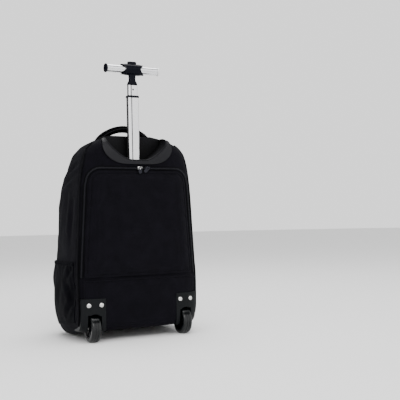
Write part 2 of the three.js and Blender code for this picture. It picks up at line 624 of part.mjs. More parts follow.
// Seen from the back, the ends are cut back in a curve that leaves a wing above and below each bar
const wingShape = new THREE.Shape();
const wingRows = [-1, -0.75, -0.5, -0.25, 0, 0.25, 0.5, 0.75, 1].map((up) => [wing - HUB.notch * (1 - up ** 2), up * tip]);
wingShape.moveTo(wing, -2 * hubRadius);
wingRows.forEach(([x, y]) => wingShape.lineTo(x, y));
wingShape.lineTo(wing, 2 * hubRadius);
wingShape.lineTo(-wing, 2 * hubRadius);
[...wingRows].reverse().forEach(([x, y]) => wingShape.lineTo(-x, y));
wingShape.lineTo(-wing, -2 * hubRadius);
const wingGeometry = new THREE.ExtrudeGeometry(wingShape, { depth: 4 * hubRadius, bevelEnabled: false });
wingGeometry.rotateX(Math.PI / 2);
wingGeometry.translate(0, POLE_DEPTH + 2 * hubRadius, GRIP_HEIGHT);
const barRadius = BAR_ACROSS / 2;
const barInner = wing - BAR_INSERT;
const barHole = rodAlongX(barInner - SEAT, wing + PAST, barRadius + SEAT, POLE_DEPTH, GRIP_HEIGHT, 20);
const hubTop = GRIP_HEIGHT + hubRadius;
const buttonShape = (grow) => roundedShape(BUTTON.wide + 2 * grow, BUTTON.deep + 2 * grow, BUTTON.deep / 2 + grow - 0.2);
const wellGeometry = new THREE.ExtrudeGeometry(buttonShape(SLIDE_GAP), {
  depth: BUTTON.hidden + BUTTON.travel + PAST, bevelEnabled: false, curveSegments: 5,
});
wellGeometry.translate(0, POLE_DEPTH, hubTop - BUTTON.hidden - BUTTON.travel - 1);
const hub = hubBarrel.intersect(solid(wingGeometry)).add(neck).add(plug).subtract(barHole).subtract(barHole.mirror([1, 0, 0]))
  .subtract(solid(wellGeometry));
place('grip_hub', hub, blackPlastic);
const barOuter = GRIP_LENGTH / 2 - CAP.thick;
const bar = rodAlongX(barInner, barOuter, barRadius, POLE_DEPTH, GRIP_HEIGHT, 20);
place('grip_bar_left', bar.mirror([1, 0, 0]), chrome);
place('grip_bar_right', bar, chrome);
const capRadius = barRadius + CAP.lip;
const cap = roundAlongX([[0, 0], [0, capRadius - 0.6], [CAP.thick * 0.6, capRadius], [CAP.thick - SEAT, capRadius - 1.2],
  [CAP.thick - SEAT, 0]], barOuter + SEAT, POLE_DEPTH, GRIP_HEIGHT, 20);
place('end_cap_left', cap.mirror([1, 0, 0]), blackPlastic);
place('end_cap_right', cap, greyPlastic);
const buttonRings = [[0, 0], [0.8, 0], [0.94, 1.4], [1, 3.4]].map(([up, inset]) => {
  const shape = roundedShape(BUTTON.wide - 2 * inset, BUTTON.deep - 2 * inset,
    BUTTON.deep / 2 - inset - 0.2).getPoints(3);
  shape.pop();
  const z = hubTop - BUTTON.hidden + up * (BUTTON.hidden + BUTTON.proud);
  return shape.map((p) => new THREE.Vector3(p.x, POLE_DEPTH + p.y, z));
});
place('push_button', throughRings(buttonRings, new THREE.Vector3(0, POLE_DEPTH, hubTop - BUTTON.hidden),
  new THREE.Vector3(0, POLE_DEPTH, hubTop + BUTTON.proud)), blackPlastic);

// Zip pulls: a slider on the zip with a round-ended tab
PULL_SIDES.forEach((across, k) => {
  const z = COVER_TOP + ZIP.gap + ZIP.width / 2;
  const face = backFace(across, z, ZIP.proud + SEAT);
  const slider = block(-PULL.slider / 2, PULL.slider / 2, -3.4, 0, -3.6, 3.6);
  const tabGeometry = new THREE.ExtrudeGeometry(roundedShape(PULL.wide, PULL.long, PULL.wide / 2 - 0.1), {
    depth: PULL.thick, bevelEnabled: false, curveSegments: 3,
  });
  tabGeometry.rotateX(Math.PI / 2);
  tabGeometry.translate(0, -2.6, -PULL.long / 2 + 3);
  tabGeometry.rotateY(PULL_TURNS[k]);
  const pull = slider.add(solid(tabGeometry)).translate([across, face, z]);
  place(`zip_pull_${k + 1}`, pull, chrome);
});

// The origin is under the middle of the whole bag, wheels included
group.position.y = (WHEEL_RADIUS - WHEEL_DEPTH - FRONT_DEPTH) / 2;
export default group;
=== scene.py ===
"""Dresses the solids of a wheeled backpack with cloth, plastic, rubber and metal.

The bag stands on two wheels and the front of its base, its pull handle half way up and its zipped
back cover closed. Shapes are worked out in millimetres, in the bag's own frame: +Z up, the pull
handle's side towards -Y, the haul handle's plane at Y = 0.
"""
import math

import bmesh
import bpy
import numpy as np
from mathutils import Matrix, Vector


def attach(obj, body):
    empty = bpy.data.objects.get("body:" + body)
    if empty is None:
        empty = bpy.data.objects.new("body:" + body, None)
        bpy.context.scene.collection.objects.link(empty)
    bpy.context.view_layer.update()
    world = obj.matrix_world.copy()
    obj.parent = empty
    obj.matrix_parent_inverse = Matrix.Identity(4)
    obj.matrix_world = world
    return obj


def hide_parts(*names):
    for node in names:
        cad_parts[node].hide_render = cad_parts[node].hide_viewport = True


bl_info = {
    "name": "Wheeled backpack",
    "version": (1, 0, 0),
    "blender": (4, 5, 0),
    "location": "3D View > Sidebar > Backpack",
    "description": "Dresses the solids of a wheeled backpack with cloth, plastic, rubber and metal",
    "category": "Add Mesh",
}

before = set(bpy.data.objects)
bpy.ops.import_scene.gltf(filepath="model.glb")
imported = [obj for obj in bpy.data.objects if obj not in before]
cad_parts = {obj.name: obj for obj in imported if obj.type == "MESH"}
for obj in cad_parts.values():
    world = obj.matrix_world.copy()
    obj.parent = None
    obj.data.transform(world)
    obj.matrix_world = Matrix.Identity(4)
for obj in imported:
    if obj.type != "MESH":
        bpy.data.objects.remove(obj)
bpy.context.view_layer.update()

# Body of the bag, as in its source
BAG_TOP = 490.0
BAG_WIDTH = 328.0
BACK_DEPTH = 100.0
FRONT_DEPTH = 144.0
WIDEST_DEPTH = -25.0
BACK_LIFT = 28.0
REST_DEPTH = 66.0
BACK_POWER = 5.0
SEAT = 0.3
PAST = 20.0
SECTIONS = np.array([
    [0.000, 0.830, 0.950, 0.690, 3.6],
    [0.015, 0.900, 0.985, 0.770, 3.7],
    [0.050, 0.968, 1.000, 0.880, 3.8],
    [0.100, 0.998, 1.000, 0.955, 4.0],
    [0.220, 1.000, 1.000, 1.000, 4.2],
    [0.350, 0.972, 1.000, 0.990, 4.2],
    [0.500, 0.948, 1.000, 0.925, 4.1],
    [0.640, 0.928, 1.000, 0.820, 3.9],
    [0.750, 0.903, 1.000, 0.690, 3.6],
    [0.840, 0.868, 1.000, 0.510, 3.2],
    [0.900, 0.820, 0.985, 0.350, 2.9],
    [0.940, 0.740, 0.950, 0.215, 2.7],
    [0.970, 0.605, 0.885, 0.110, 2.5],
    [0.990, 0.450, 0.790, 0.025, 2.4],
    [1.000, 0.310, 0.690, -0.030, 2.4],
])
DENTS = [
    [-1, -0.62, 0.17, 0.22, 0.13, 0.036],
    [-1, 0.30, 0.16, 0.50, 0.14, -0.014],
    [-1, -0.55, 0.62, 0.26, 0.24, 0.016],
    [-1, 0.35, 0.40, 0.55, 0.05, 0.008],
    [-1, 0.25, 0.62, 0.70, 0.30, -0.024],
    [1, -0.55, 0.20, 0.24, 0.14, 0.008],
    [1, 0.30, 0.15, 0.50, 0.14, -0.012],
    [1, -0.50, 0.58, 0.28, 0.22, 0.012],
    [1, 0.40, 0.41, 0.50, 0.05, 0.008],
]

# Handle tray
POLE_DEPTH = -66.0
TRAY_WALL = 3.0
TRAY_BACK_WALL = -46.0
TRAY_WIDTH = 164.0
TRAY_DEEP = 59.0
TRAY_FLOOR = BAG_TOP - TRAY_DEEP
BEZEL_PROUD = 3.0
BEZEL_LAP = 20.0
MOUTH = np.array([
    [0.200, 0.000], [0.300, 0.024], [0.400, 0.075], [0.500, 0.150], [0.600, 0.243], [0.690, 0.340],
    [0.770, 0.440], [0.840, 0.540], [0.895, 0.645], [0.935, 0.760], [0.960, 0.900], [0.975, 1.525],
])
RIM = np.array([
    [0.380, -0.200], [0.560, -0.176], [0.700, -0.125], [0.820, -0.050], [0.920, 0.045], [1.000, 0.155],
    [1.060, 0.280], [1.095, 0.415], [1.100, 0.560], [1.085, 0.720], [1.065, 0.890], [1.055, 1.525],
])

# Wheels and housings
WHEEL_RADIUS = 32.5
WHEEL_SIDE = 117.5
WHEEL_DEPTH = -81.0
TYRE_WIDTH = 24.0
TYRE_THICK = 10.0
WHEEL_ROOM = 3.5
AXLE_ACROSS = 6.0
HOUSING_INWARD = 26.5
HOUSING_OUTWARD = 31.5
HOUSING_WALL = 6.0
HOUSING_PROUD = 3.5
HOUSING_TOP = 103.0
RIVET_BELOW = 15.0
RIVET_SIDES = (-15.5, 14.0)
RIVET_HEAD = 11.0
RIVET_HIGH = 2.8
RIVET_SINK = 0.6

SPOKE = [(-1.7, -1), (-1.5, 1.0), (-0.8, 1.5), (0.8, 1.5), (1.5, 1.0), (1.7, -1)]

# Cover, zip, lower panel and pockets
COVER_TOP = 403.0
COVER_BOTTOM = 152.0
COVER_LOW_HALF = 139.0
COVER_HIGH_HALF = 124.0
COVER_PROUD = 5.5
COVER_EDGE = 2.4
ZIP_WIDTH = 9.0
ZIP_PROUD = 2.4
ZIP_GAP = 2.4
ZIP_CORNER = 30.0
PANEL_TOP = 146.0
PANEL_BOTTOM = 34.0
PANEL_PROUD = 1.8
PANEL_HALF = 141.4
POCKET_BACK = -66.0
POCKET_FRONT = 98.0
POCKET_LOW = 0.05
POCKET_HIGH = 0.345
POCKET_HEM = 9.0

# Corded seam down each back corner, in rows of height and distance from the middle
PIPING_LINE = np.array([
    [34, 151.5], [103, 153.0], [COVER_BOTTOM, 153.6], [370, 143.0],
    [410, 137.5], [440, 130.5], [462, 122.0], [470, 117.5],
])

# Haul handle
HAUL_SPAN = 146.0
HAUL_RISE = 36.0
HAUL_THICK = 17.0
HAUL_DEEP = 26.0
HAUL_ARCH = [
    [-0.50, -0.42], [-0.47, 0.02], [-0.36, 0.50], [-0.18, 0.87], [0.00, 1.00],
    [0.18, 0.87], [0.36, 0.50], [0.47, 0.02], [0.50, -0.42],
]

# Pole and grip
OUTER_TUBE = {"wide": 32.0, "deep": 19.5, "corner": 4.5, "bottom": 126.0, "top": 427.7}
MIDDLE_TUBE = {"wide": 28.0, "deep": 15.5, "corner": 3.5, "bottom": 285.7, "top": 585.7}
INNER_TUBE = {"wide": 24.0, "deep": 11.5, "corner": 3.0, "bottom": 336.7, "top": 616.7}
TUBE_WALL = 1.4
GROOVE_PLACE = -0.18
GROOVE_WIDE = 1.6
GROOVE_DEEP = 0.7
COLLAR = {"wide": 31.0, "deep": 18.5, "corner": 4.5, "bottom": 586.0, "top": 591.0}
LATCH_HOLE = 4.5
LATCH_BELOW = 11.0
SLIDE_GAP = 0.6
GRIP_HEIGHT = 655.5
HUB_BOTTOM = 617.0
HUB_HALF = 31.0
HUB_TIP = 12.7
HUB_RADIUS = 14.0
HUB_NOTCH = 12.0
HUB_TOP = GRIP_HEIGHT + HUB_RADIUS
NECK_WIDE = 16.0
NECK_DEEP = 11.0
NECK_FLARE = (8.0, 2.5)
# Rows: share of the neck's height, and shares of its flare across and back to front
NECK_ROWS = (
    (0, 1, 1), (0.1, 0.96, 0.98), (0.18, 0.78, 0.8), (0.26, 0.42, 0.5), (0.34, 0.12, 0.2), (0.44, 0, 0),
    (1, 0.3, 0),
)
BAR_RADIUS = 9.5
BAR_INNER = 14.0
BAR_OUTER = 66.0
CAP_RADIUS = 11.0
CAP_OUTER = 71.0
BUTTON_WIDE = 23.0
BUTTON_DEEP = 12.0
BUTTON_PROUD = 6.0

# The row frame's origin is under the middle of the whole bag, wheels included
SHIFT = (WHEEL_RADIUS - WHEEL_DEPTH - FRONT_DEPTH) / 2

# Stage, in metres: the camera's place and its yaw, pitch and roll in degrees
CAMERA_PLACE = (-0.661, -1.685 + SHIFT / 1000, 0.285)
CAMERA_TURN = (-27.5, -1.5, -1.25)
# Direction of the brightest surroundings, and the middle and half width of the gap between two light
# boxes, which polished metal shows as a dark line
LIGHT_FROM = (0.12, -0.74, 0.62)
DARK_BAND = (0.80, 0.09)
# Each row: name, place, size across and colour of a lamp
LAMP_TARGET = (0, 0, 0.3)
LAMPS = (
    ("key_lamp", (-0.5, -2.4, 2.0), 1.8, (1.0, 0.99, 0.98)),
    ("fill_lamp", (-2.2, -1.2, 1.2), 1.8, (0.97, 0.98, 1.0)),
    ("top_lamp", (0.2, 0.5, 2.6), 2.2, (1.0, 1.0, 1.0)),
)


def linear(colour):
    """sRGB hex value to linear colour"""
    channels = [int(colour[k:k + 2], 16) / 255 for k in (1, 3, 5)]
    return [c / 12.92 if c <= 0.04045 else ((c + 0.055) / 1.055) ** 2.4 for c in channels]


def smooth(value):
    at = np.clip(value, 0, 1)
    return at * at * (3 - 2 * at)


# Surface of the body

def eased_rows():
    """Slopes of the section table that let it run smoothly from row to row without overshoot"""
    step = np.diff(SECTIONS[:, 0])[:, None]
    rise = np.diff(SECTIONS[:, 1:], axis=0) / step
    slope = np.zeros((len(SECTIONS), rise.shape[1]))
    slope[0] = rise[0]
    slope[-1] = rise[-1]
    before = rise[:-1]
    after = rise[1:]
    same = before * after > 0
    total = np.where(same, before + after, 1)
    slope[1:-1] = np.where(same, 2 * before * after / total, 0)
    return slope


ROW_SLOPES = eased_rows()


def section(share):
    """Half width, back and front reach and front squareness of the body at a height share"""
    at = np.clip(np.asarray(share, float), 0, 1)
    k = np.clip(np.searchsorted(SECTIONS[:, 0], at, side="right") - 1, 0, len(SECTIONS) - 2)
    step = (SECTIONS[k + 1, 0] - SECTIONS[k, 0])
    t = ((at - SECTIONS[k, 0]) / step)[..., None]
    low = SECTIONS[k, 1:]
    high = SECTIONS[k + 1, 1:]
    step = step[..., None]
    value = (low * (1 + 2 * t) * (1 - t) ** 2 + ROW_SLOPES[k] * step * t * (1 - t) ** 2
             + high * t * t * (3 - 2 * t) - ROW_SLOPES[k + 1] * step * t * t * (1 - t))
    wide, back, front, power = np.moveaxis(value, -1, 0)
    return wide * BAG_WIDTH / 2, back * BACK_DEPTH, front * FRONT_DEPTH, power


def drop(depth, share):
    slope = np.clip((depth + BACK_DEPTH) / (REST_DEPTH + BACK_DEPTH), 0, 1)
    return BACK_LIFT * slope * (1 - smooth(share / 0.2))


def height_at(share, grow=0.0):
    return BACK_LIFT - grow + share * (BAG_TOP + 2 * grow - BACK_LIFT)


def share_at(height):
    return (height - BACK_LIFT) / (BAG_TOP - BACK_LIFT)


def dented(points):
    """Moves points of the sides in or out by the dents near them"""
    side = np.sign(points[..., 0])
    share = share_at(points[..., 2])
    inward = np.zeros(points.shape[:-1])
    for at, y, z, along, up, deep in DENTS:
        near = np.exp(-((points[..., 1] / BACK_DEPTH - y) / along) ** 2 - ((share - z) / up) ** 2)
        inward += np.where(side == at, deep * BAG_WIDTH * near, 0)
    outside = np.minimum(np.abs(points[..., 0]) / (BAG_WIDTH / 2), 1) ** 4
    moved = points.copy()
    moved[..., 0] -= side * inward * outside
    return moved


def skin(angle, share, grow=0.0, scale=1.0):
    """Point of the body at a turn about the vertical and a height share"""
    wide, back, front, power = section(share)
    across = np.cos(angle)
    along = np.sin(angle)
    behind = along < 0
    squareness = np.where(behind, BACK_POWER, power)
    reach = np.where(behind, back + WIDEST_DEPTH, front - WIDEST_DEPTH)
    x = (wide + grow) * scale * np.sign(across) * np.abs(across) ** (2 / squareness)
    y = WIDEST_DEPTH + (reach + grow) * scale * np.sign(along) * np.abs(along) ** (2 / squareness)
    z = height_at(share, grow) - drop(y, share)
    return dented(np.stack(np.broadcast_arrays(x, y, z), axis=-1))


def back_face(x, z, grow=0.0):
    """Depth of the back face at a place across and up"""
    wide, back, _, _ = section(share_at(z))
    part = np.minimum(np.abs(x) / (wide + grow), 0.999)
    return WIDEST_DEPTH - (back + WIDEST_DEPTH + grow) * (1 - part ** BACK_POWER) ** (1 / BACK_POWER)


def on_back(x, z, grow=0.0):
    return np.stack(np.broadcast_arrays(x, back_face(x, z, grow), z), axis=-1)


def back_normal(x, z):
    """Direction straight out of the back face"""
    step = 0.5
    slope_x = (back_face(x + step, z) - back_face(x - step, z)) / (2 * step)
    slope_z = (back_face(x, z + step) - back_face(x, z - step)) / (2 * step)
    normal = np.stack(np.broadcast_arrays(slope_x, -np.ones_like(slope_x), slope_z), axis=-1)
    return normal / np.linalg.norm(normal, axis=-1, keepdims=True)


def side_point(side, y, share, grow=0.0):
    """Side of the body at a depth and a height share"""
    wide, back, front, power = section(share)
    behind = y < WIDEST_DEPTH
    squareness = np.where(behind, BACK_POWER, power)
    reach = np.where(behind, back + WIDEST_DEPTH + grow, front - WIDEST_DEPTH + grow)
    part = np.minimum(np.abs(y - WIDEST_DEPTH) / reach, 0.999)
    x = side * (wide + grow) * (1 - part ** squareness) ** (1 / squareness)
    z = height_at(share) - drop(y, share)
    return dented(np.stack(np.broadcast_arrays(x, y, z), axis=-1))


def turns(count):
    """Angles around a section, crowded into its flat sides"""
    quarter = np.linspace(0, 1, count // 4, endpoint=False) ** 1.6
    back = 1 - (1 - np.linspace(0, 1, count // 4, endpoint=False)) ** 1.6
    return np.concatenate([quarter, 1 + back, 2 + quarter, 3 + back]) * math.pi / 2


# Soft waves and creases of the cloth

def waves(points, size, seed):
    """Even, seeded waviness between about -1 and 1, of a given size in mm"""
    draw = np.random.default_rng(seed)
    total = np.zeros(points.shape[:-1])
    for _ in range(7):
        direction = draw.normal(size=3)
        direction /= np.linalg.norm(direction)
        stretch = draw.uniform(0.6, 1.6)
        total += np.sin(points @ direction * 2 * math.pi * stretch / size + draw.uniform(0, 6.28))
    return total / 3.5


# Each row: face, start and end across or along and up, half width and depth of the crease in mm.
# A negative depth is a ridge.
CREASES = [
    ("left", (-48, 330), (-40, 236), 7.0, 2.6),
    ("left", (-30, 352), (-26, 262), 6.0, -1.2),
    ("left", (-70, 424), (-10, 404), 5.0, 2.0),
    ("left", (-60, 398), (30, 372), 6.0, 1.6),
    ("left", (0, 430), (70, 372), 8.0, 1.5),
    ("left", (-60, 178), (-28, 142), 6.0, 3.2),
    ("left", (-36, 140), (-58, 92), 7.0, 3.6),
    ("left", (-61, 134), (-50, 106), 5.0, 4.2),
    ("left", (-56, 96), (-30, 62), 6.0, 3.0),
    ("left", (-18, 150), (20, 80), 9.0, 1.6),
    ("left", (30, 168), (70, 110), 10.0, 1.8),
    ("left", (20, 330), (60, 240), 11.0, 1.6),
    ("left", (60, 300), (96, 216), 10.0, 1.4),
    ("right", (-46, 320), (-38, 230), 8.0, 2.2),
    ("right", (-66, 420), (-8, 398), 6.0, 1.8),
    ("right", (-58, 172), (-22, 118), 8.0, 2.6),
    ("right", (-50, 110), (-26, 66), 7.0, 2.4),
    ("right", (20, 160), (60, 84), 10.0, 1.8),
    ("right", (20, 340), (64, 232), 11.0, 1.6),
    ("front", (-120, 372), (-40, 340), 10.0, 1.8),
    ("front", (40, 344), (118, 380), 10.0, 1.8),
    ("front", (-96, 150), (-60, 60), 12.0, 2.2),
    ("front", (90, 160), (52, 58), 12.0, 2.2),
    ("front", (-20, 120), (24, 56), 12.0, 1.6),
    ("front", (-60, 270), (40, 252), 14.0, 1.6),
    ("back", (-104, 66), (-98, 32), 5.0, 1.0),
    ("back", (-142, 149), (142, 149), 2.6, 2.4),
]


def creases(points):
    """How far the cloth stands out, or in where negative, from its creases"""
    x, y, z = points[..., 0], points[..., 1], points[..., 2]
    facing = {
        "left": (y, smooth((-x - 90) / 50)), "right": (y, smooth((x - 90) / 50)),
        "front": (x, smooth((y - 10) / 50)), "back": (x, smooth((-y - 60) / 25)),
    }
    total = np.zeros(x.shape)
    for face, start, end, half, deep in CREASES:
        across, weight = facing[face]
        run = np.subtract(end, start)
        place = ((across - start[0]) * run[0] + (z - start[1]) * run[1]) / (run @ run)
        t = np.clip(place, 0, 1)
        gap = np.hypot(across - start[0] - t * run[0], z - start[1] - t * run[1])
        fade = 0.35 + 0.65 * np.sin(math.pi * np.clip(t, 0.04, 0.96))
        hollow = np.exp(-(gap / half) ** 2)
        shoulder = 0.45 * np.exp(-((gap - 2.2 * half) / half) ** 2)
        total -= deep * fade * weight * (hollow - shoulder)
    return total


# Mesh tools

def to_frame(points):
    """Millimetres in the bag's frame to metres in the row frame"""
    return (np.asarray(points, float).reshape(-1, 3) + (0.0, SHIFT, 0.0)) / 1000.0


def make_mesh(name, points, faces):
    mesh = bpy.data.meshes.new(name)
    mesh.from_pydata(to_frame(points).tolist(), [], [tuple(int(k) for k in face) for face in faces])
    work = bmesh.new()
    work.from_mesh(mesh)
    bmesh.ops.recalc_face_normals(work, faces=work.faces)
    work.to_mesh(mesh)
    work.free()
    piece = bpy.data.objects.new(name, mesh)
    bpy.context.scene.collection.objects.link(piece)
    return piece


def grid_faces(rows, columns, wrap_columns=False, wrap_rows=False, start=0):
    faces = []
    for row in range(rows if wrap_rows else rows - 1):
        for column in range(columns if wrap_columns else columns - 1):
            beside = (column + 1) % columns
            above = (row + 1) % rows
            faces.append((start + row * columns + column, start + row * columns + beside,
                          start + above * columns + beside, start + above * columns + column))
    return faces


def loft(rings):
    """Points and faces of a closed solid through rings, closed by a point at each end"""
    rings = np.asarray(rings, float)
    rows, columns = rings.shape[:2]
    points = np.concatenate([rings.reshape(-1, 3), [rings[0].mean(0)], [rings[-1].mean(0)]])
    faces = grid_faces(rows, columns, wrap_columns=True)
    low = rows * columns
    last = (rows - 1) * columns
    for column in range(columns):
        beside = (column + 1) % columns
        faces.append((low, beside, column))
        faces.append((low + 1, last + column, last + beside))
    return points, faces


def ring_loft(rings):
    """Points and faces of a closed ring-shaped solid, such as a tube or a plate with a hole"""
    rings = np.asarray(rings, float)
    rows, columns = rings.shape[:2]
    return rings.reshape(-1, 3), grid_faces(rows, columns, wrap_columns=True, wrap_rows=True)


def slab(outer, inner):
    """Points and faces of a closed sheet between two grids"""
    rows, columns = outer.shape[:2]
    half = rows * columns
    points = np.concatenate([outer.reshape(-1, 3), inner.reshape(-1, 3)])
    faces = grid_faces(rows, columns)
    faces += [tuple(reversed(face)) for face in grid_faces(rows, columns, start=half)]
    border = list(range(columns))
    border += [row * columns + columns - 1 for row in range(1, rows)]
    border += [(rows - 1) * columns + column for column in range(columns - 2, -1, -1)]
    border += [row * columns for row in range(rows - 2, 0, -1)]
    for k, at in enumerate(border):
        beside = border[(k + 1) % len(border)]
        faces.append((beside, at, half + at, half + beside))
    return points, faces


def joined(parts):
    """Several lots of points and faces as one"""
    points = []
    faces = []
    count = 0
    for some, their in parts:
        points.append(np.asarray(some, float).reshape(-1, 3))
        faces += [tuple(k + count for k in face) for face in their]
        count += len(points[-1])
    return np.concatenate(points), faces


def grid_normals(points, centre=(0.0, 0.0, 250.0)):
    """Outward directions of a grid of points"""
    along = np.gradient(points, axis=0)
    across = np.gradient(points, axis=1)
    normal = np.cross(along, across)
    normal /= np.maximum(np.linalg.norm(normal, axis=-1, keepdims=True), 1e-9)
    outward = np.sum(normal * (points - np.array(centre)), axis=-1)
    return normal * np.where(np.sum(outward) < 0, -1.0, 1.0)


def apply_modifiers(piece):
    bpy.context.view_layer.update()
    shown = piece.evaluated_get(bpy.context.evaluated_depsgraph_get())
    mesh = bpy.data.meshes.new_from_object(shown)
    if not mesh.polygons:
        raise RuntimeError(piece.name + " has no faces left")
    piece.modifiers.clear()
    old = piece.data
    piece.data = mesh
    bpy.data.meshes.remove(old)
    mesh.name = piece.name
    return piece


def combine(piece, other, operation="DIFFERENCE", keep=False):
    """Cuts, joins or intersects a piece with another"""
    modifier = piece.modifiers.new("combine", "BOOLEAN")
    modifier.operation = operation
    modifier.object = other
    modifier.solver = "MANIFOLD"
    apply_modifiers(piece)
    if not keep:
        bpy.data.objects.remove(other, do_unlink=True)
    return piece


def rounded_off(piece, voxel, times, factor=0.6):
    """Remeshes a piece evenly and eases its edges, as a mould does"""
    remesh = piece.modifiers.new("remesh", "REMESH")
    remesh.mode = "VOXEL"
    remesh.voxel_size = voxel / 1000
    ease = piece.modifiers.new("ease", "SMOOTH")
    ease.factor = factor
    ease.iterations = times
    return apply_modifiers(piece)


def dress(piece, body, material, replaces=(), sharp=40.0):
    """Gives a piece its material, shading and body, and hides the parts it replaces"""
    piece.data.materials.clear()
    piece.data.materials.append(material)
    piece.data.polygons.foreach_set("use_smooth", [True] * len(piece.data.polygons))
    piece.data.set_sharp_from_angle(angle=math.radians(sharp))
    piece.data.update()
    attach(piece, body)
    if replaces:
        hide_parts(*replaces)
    return piece


def box_points(x0, x1, y0, y1, z0, z1):
    corners = [(x, y, z) for z in (z0, z1) for x, y in ((x0, y0), (x1, y0), (x1, y1), (x0, y1))]
    faces = [(0, 1, 2, 3), (4, 7, 6, 5), (0, 4, 5, 1), (1, 5, 6, 2), (2, 6, 7, 3), (3, 7, 4, 0)]
    return np.array(corners, float), faces


def rounded_outline(wide, high, corner, steps=8):
    """Closed outline of a rectangle with round corners, as rows of across and up"""
    outline = []
    centres = ((1, -1, -90), (1, 1, 0), (-1, 1, 90), (-1, -1, 180))
    for side, up, start in centres:
        for k in range(steps + 1):
            angle = math.radians(start + 90 * k / steps)
            outline.append((side * (wide / 2 - corner) + corner * math.cos(angle),
                            up * (high / 2 - corner) + corner * math.sin(angle)))
    return np.array(outline)


def turned(profile, centre, sides=64, axis="X"):
    """Round solid from rows of distance along its axis and radius"""
    angles = np.linspace(0, 2 * math.pi, sides, endpoint=False)
    rings = []
    for along, radius in profile:
        flat = np.full(sides, along)
        first = radius * np.cos(angles)
        second = radius * np.sin(angles)
        order = {"X": (flat, first, second), "Y": (first, flat, second), "Z": (first, second, flat)}[axis]
        rings.append(np.stack(order, axis=-1) + np.array(centre, float))
    return loft(rings)


def resampled(path, spacing):
    """Points at an even spacing along a path"""
    path = np.asarray(path, float)
    run = np.concatenate([[0], np.cumsum(np.linalg.norm(np.diff(path, axis=0), axis=1))])
    count = max(int(round(run[-1] / spacing)), 2)
    at = np.linspace(0, run[-1], count + 1)
    return np.stack([np.interp(at, run, path[:, k]) for k in range(path.shape[1])], axis=-1)


def directions(path, closed=False):
    if closed:
        run = np.roll(path, -1, axis=0) - np.roll(path, 1, axis=0)
    else:
        run = np.gradient(path, axis=0)
    return run / np.maximum(np.linalg.norm(run, axis=1, keepdims=True), 1e-9)


def swept(path, normals, outline, closed=False, sizes=None):
    """Solid of one outline, as rows of across and out, along a path on a surface"""
    run = directions(path, closed)
    across = np.cross(run, normals)
    across /= np.maximum(np.linalg.norm(across, axis=1, keepdims=True), 1e-9)
    size = np.ones(len(path)) if sizes is None else np.asarray(sizes)
    outline = np.asarray(outline, float)
    rings = (path[:, None, :] + across[:, None, :] * outline[None, :, :1] * size[:, None, None]
             + normals[:, None, :] * outline[None, :, 1:] * size[:, None, None])
    return ring_loft(rings) if closed else loft(rings)


def circle(radius, sides=10, lift=0.0):
    angles = np.linspace(0, 2 * math.pi, sides, endpoint=False)
    return np.stack([radius * np.cos(angles), radius * np.sin(angles) + lift], axis=-1)


def stitches(path, normals, pitch=4.2, length=3.0, thread=0.42):
    """Lockstitches along a path on a surface, each a short thread that dips in at both ends"""
    run = np.concatenate([[0], np.cumsum(np.linalg.norm(np.diff(path, axis=0), axis=1))])
    parts = []
    count = int(run[-1] / pitch)
    for k in range(count):
        at = (k + 0.5) * pitch + np.linspace(-0.5, 0.5, 5) * length
        centre = np.stack([np.interp(at, run, path[:, c]) for c in range(3)], axis=-1)
        out = np.stack([np.interp(at, run, normals[:, c]) for c in range(3)], axis=-1)
        lift = np.array([-0.5, 0.6, 0.95, 0.6, -0.5]) * thread
        centre = centre + out * lift[:, None]
        parts.append(swept(centre, out, circle(thread, 5), sizes=[0.5, 0.95, 1.0, 0.95, 0.5]))
    return joined(parts)


# Materials

def add_node(tree, kind, settings=None, links=None):
    """Adds a node; settings are properties or input values, and links are its inputs' sources"""
    node = tree.nodes.new(kind)
    for name, value in (settings or {}).items():
        if isinstance(name, int) or name in node.inputs:
            node.inputs[name].default_value = value
        else:
            setattr(node, name, value)
    for name, source in (links or {}).items():
        tree.links.new(source, node.inputs[name])
    return node


def new_material(name, settings):
    material = bpy.data.materials.new(name)
    material.use_nodes = True
    tree = material.node_tree
    shader = tree.nodes["Principled BSDF"]
    for socket, value in settings.items():
        shader.inputs[socket].default_value = value
    return material, tree, shader


def rgba(colour):
    return [*colour[:3], 1.0]


def shade(colour, factor):
    return [min(c * factor, 1.0) for c in colour[:3]] + [1.0]


def bands(tree, place, axis, spacing, distortion=0.0):
    """Bands across one axis with a spacing in mm; a wave node's own period is pi / 10 of a unit"""
    return add_node(tree, "ShaderNodeTexWave", {
        "wave_type": "BANDS", "bands_direction": axis, "wave_profile": "SIN",
        "Scale": math.pi / 10 / (spacing / 1000), "Distortion": distortion,
    }, {"Vector": place})


def paint_occlusion_shade(tree, colour, reach, closed, open_share, least):
    """Painted shade: a colour darkened in corners and folds, which reach a distance in metres out of them"""
    corner = add_node(tree, "ShaderNodeAmbientOcclusion", {"samples": 8, "Distance": reach})
    share = add_node(tree, "ShaderNodeMapRange", {
        "interpolation_type": "SMOOTHSTEP", "From Min": closed, "From Max": open_share, "To Min": least,
    }, {"Value": corner.outputs["AO"]})
    return add_node(tree, "ShaderNodeVectorMath", {"operation": "SCALE"},
                    {0: colour, "Scale": share.outputs[0]})


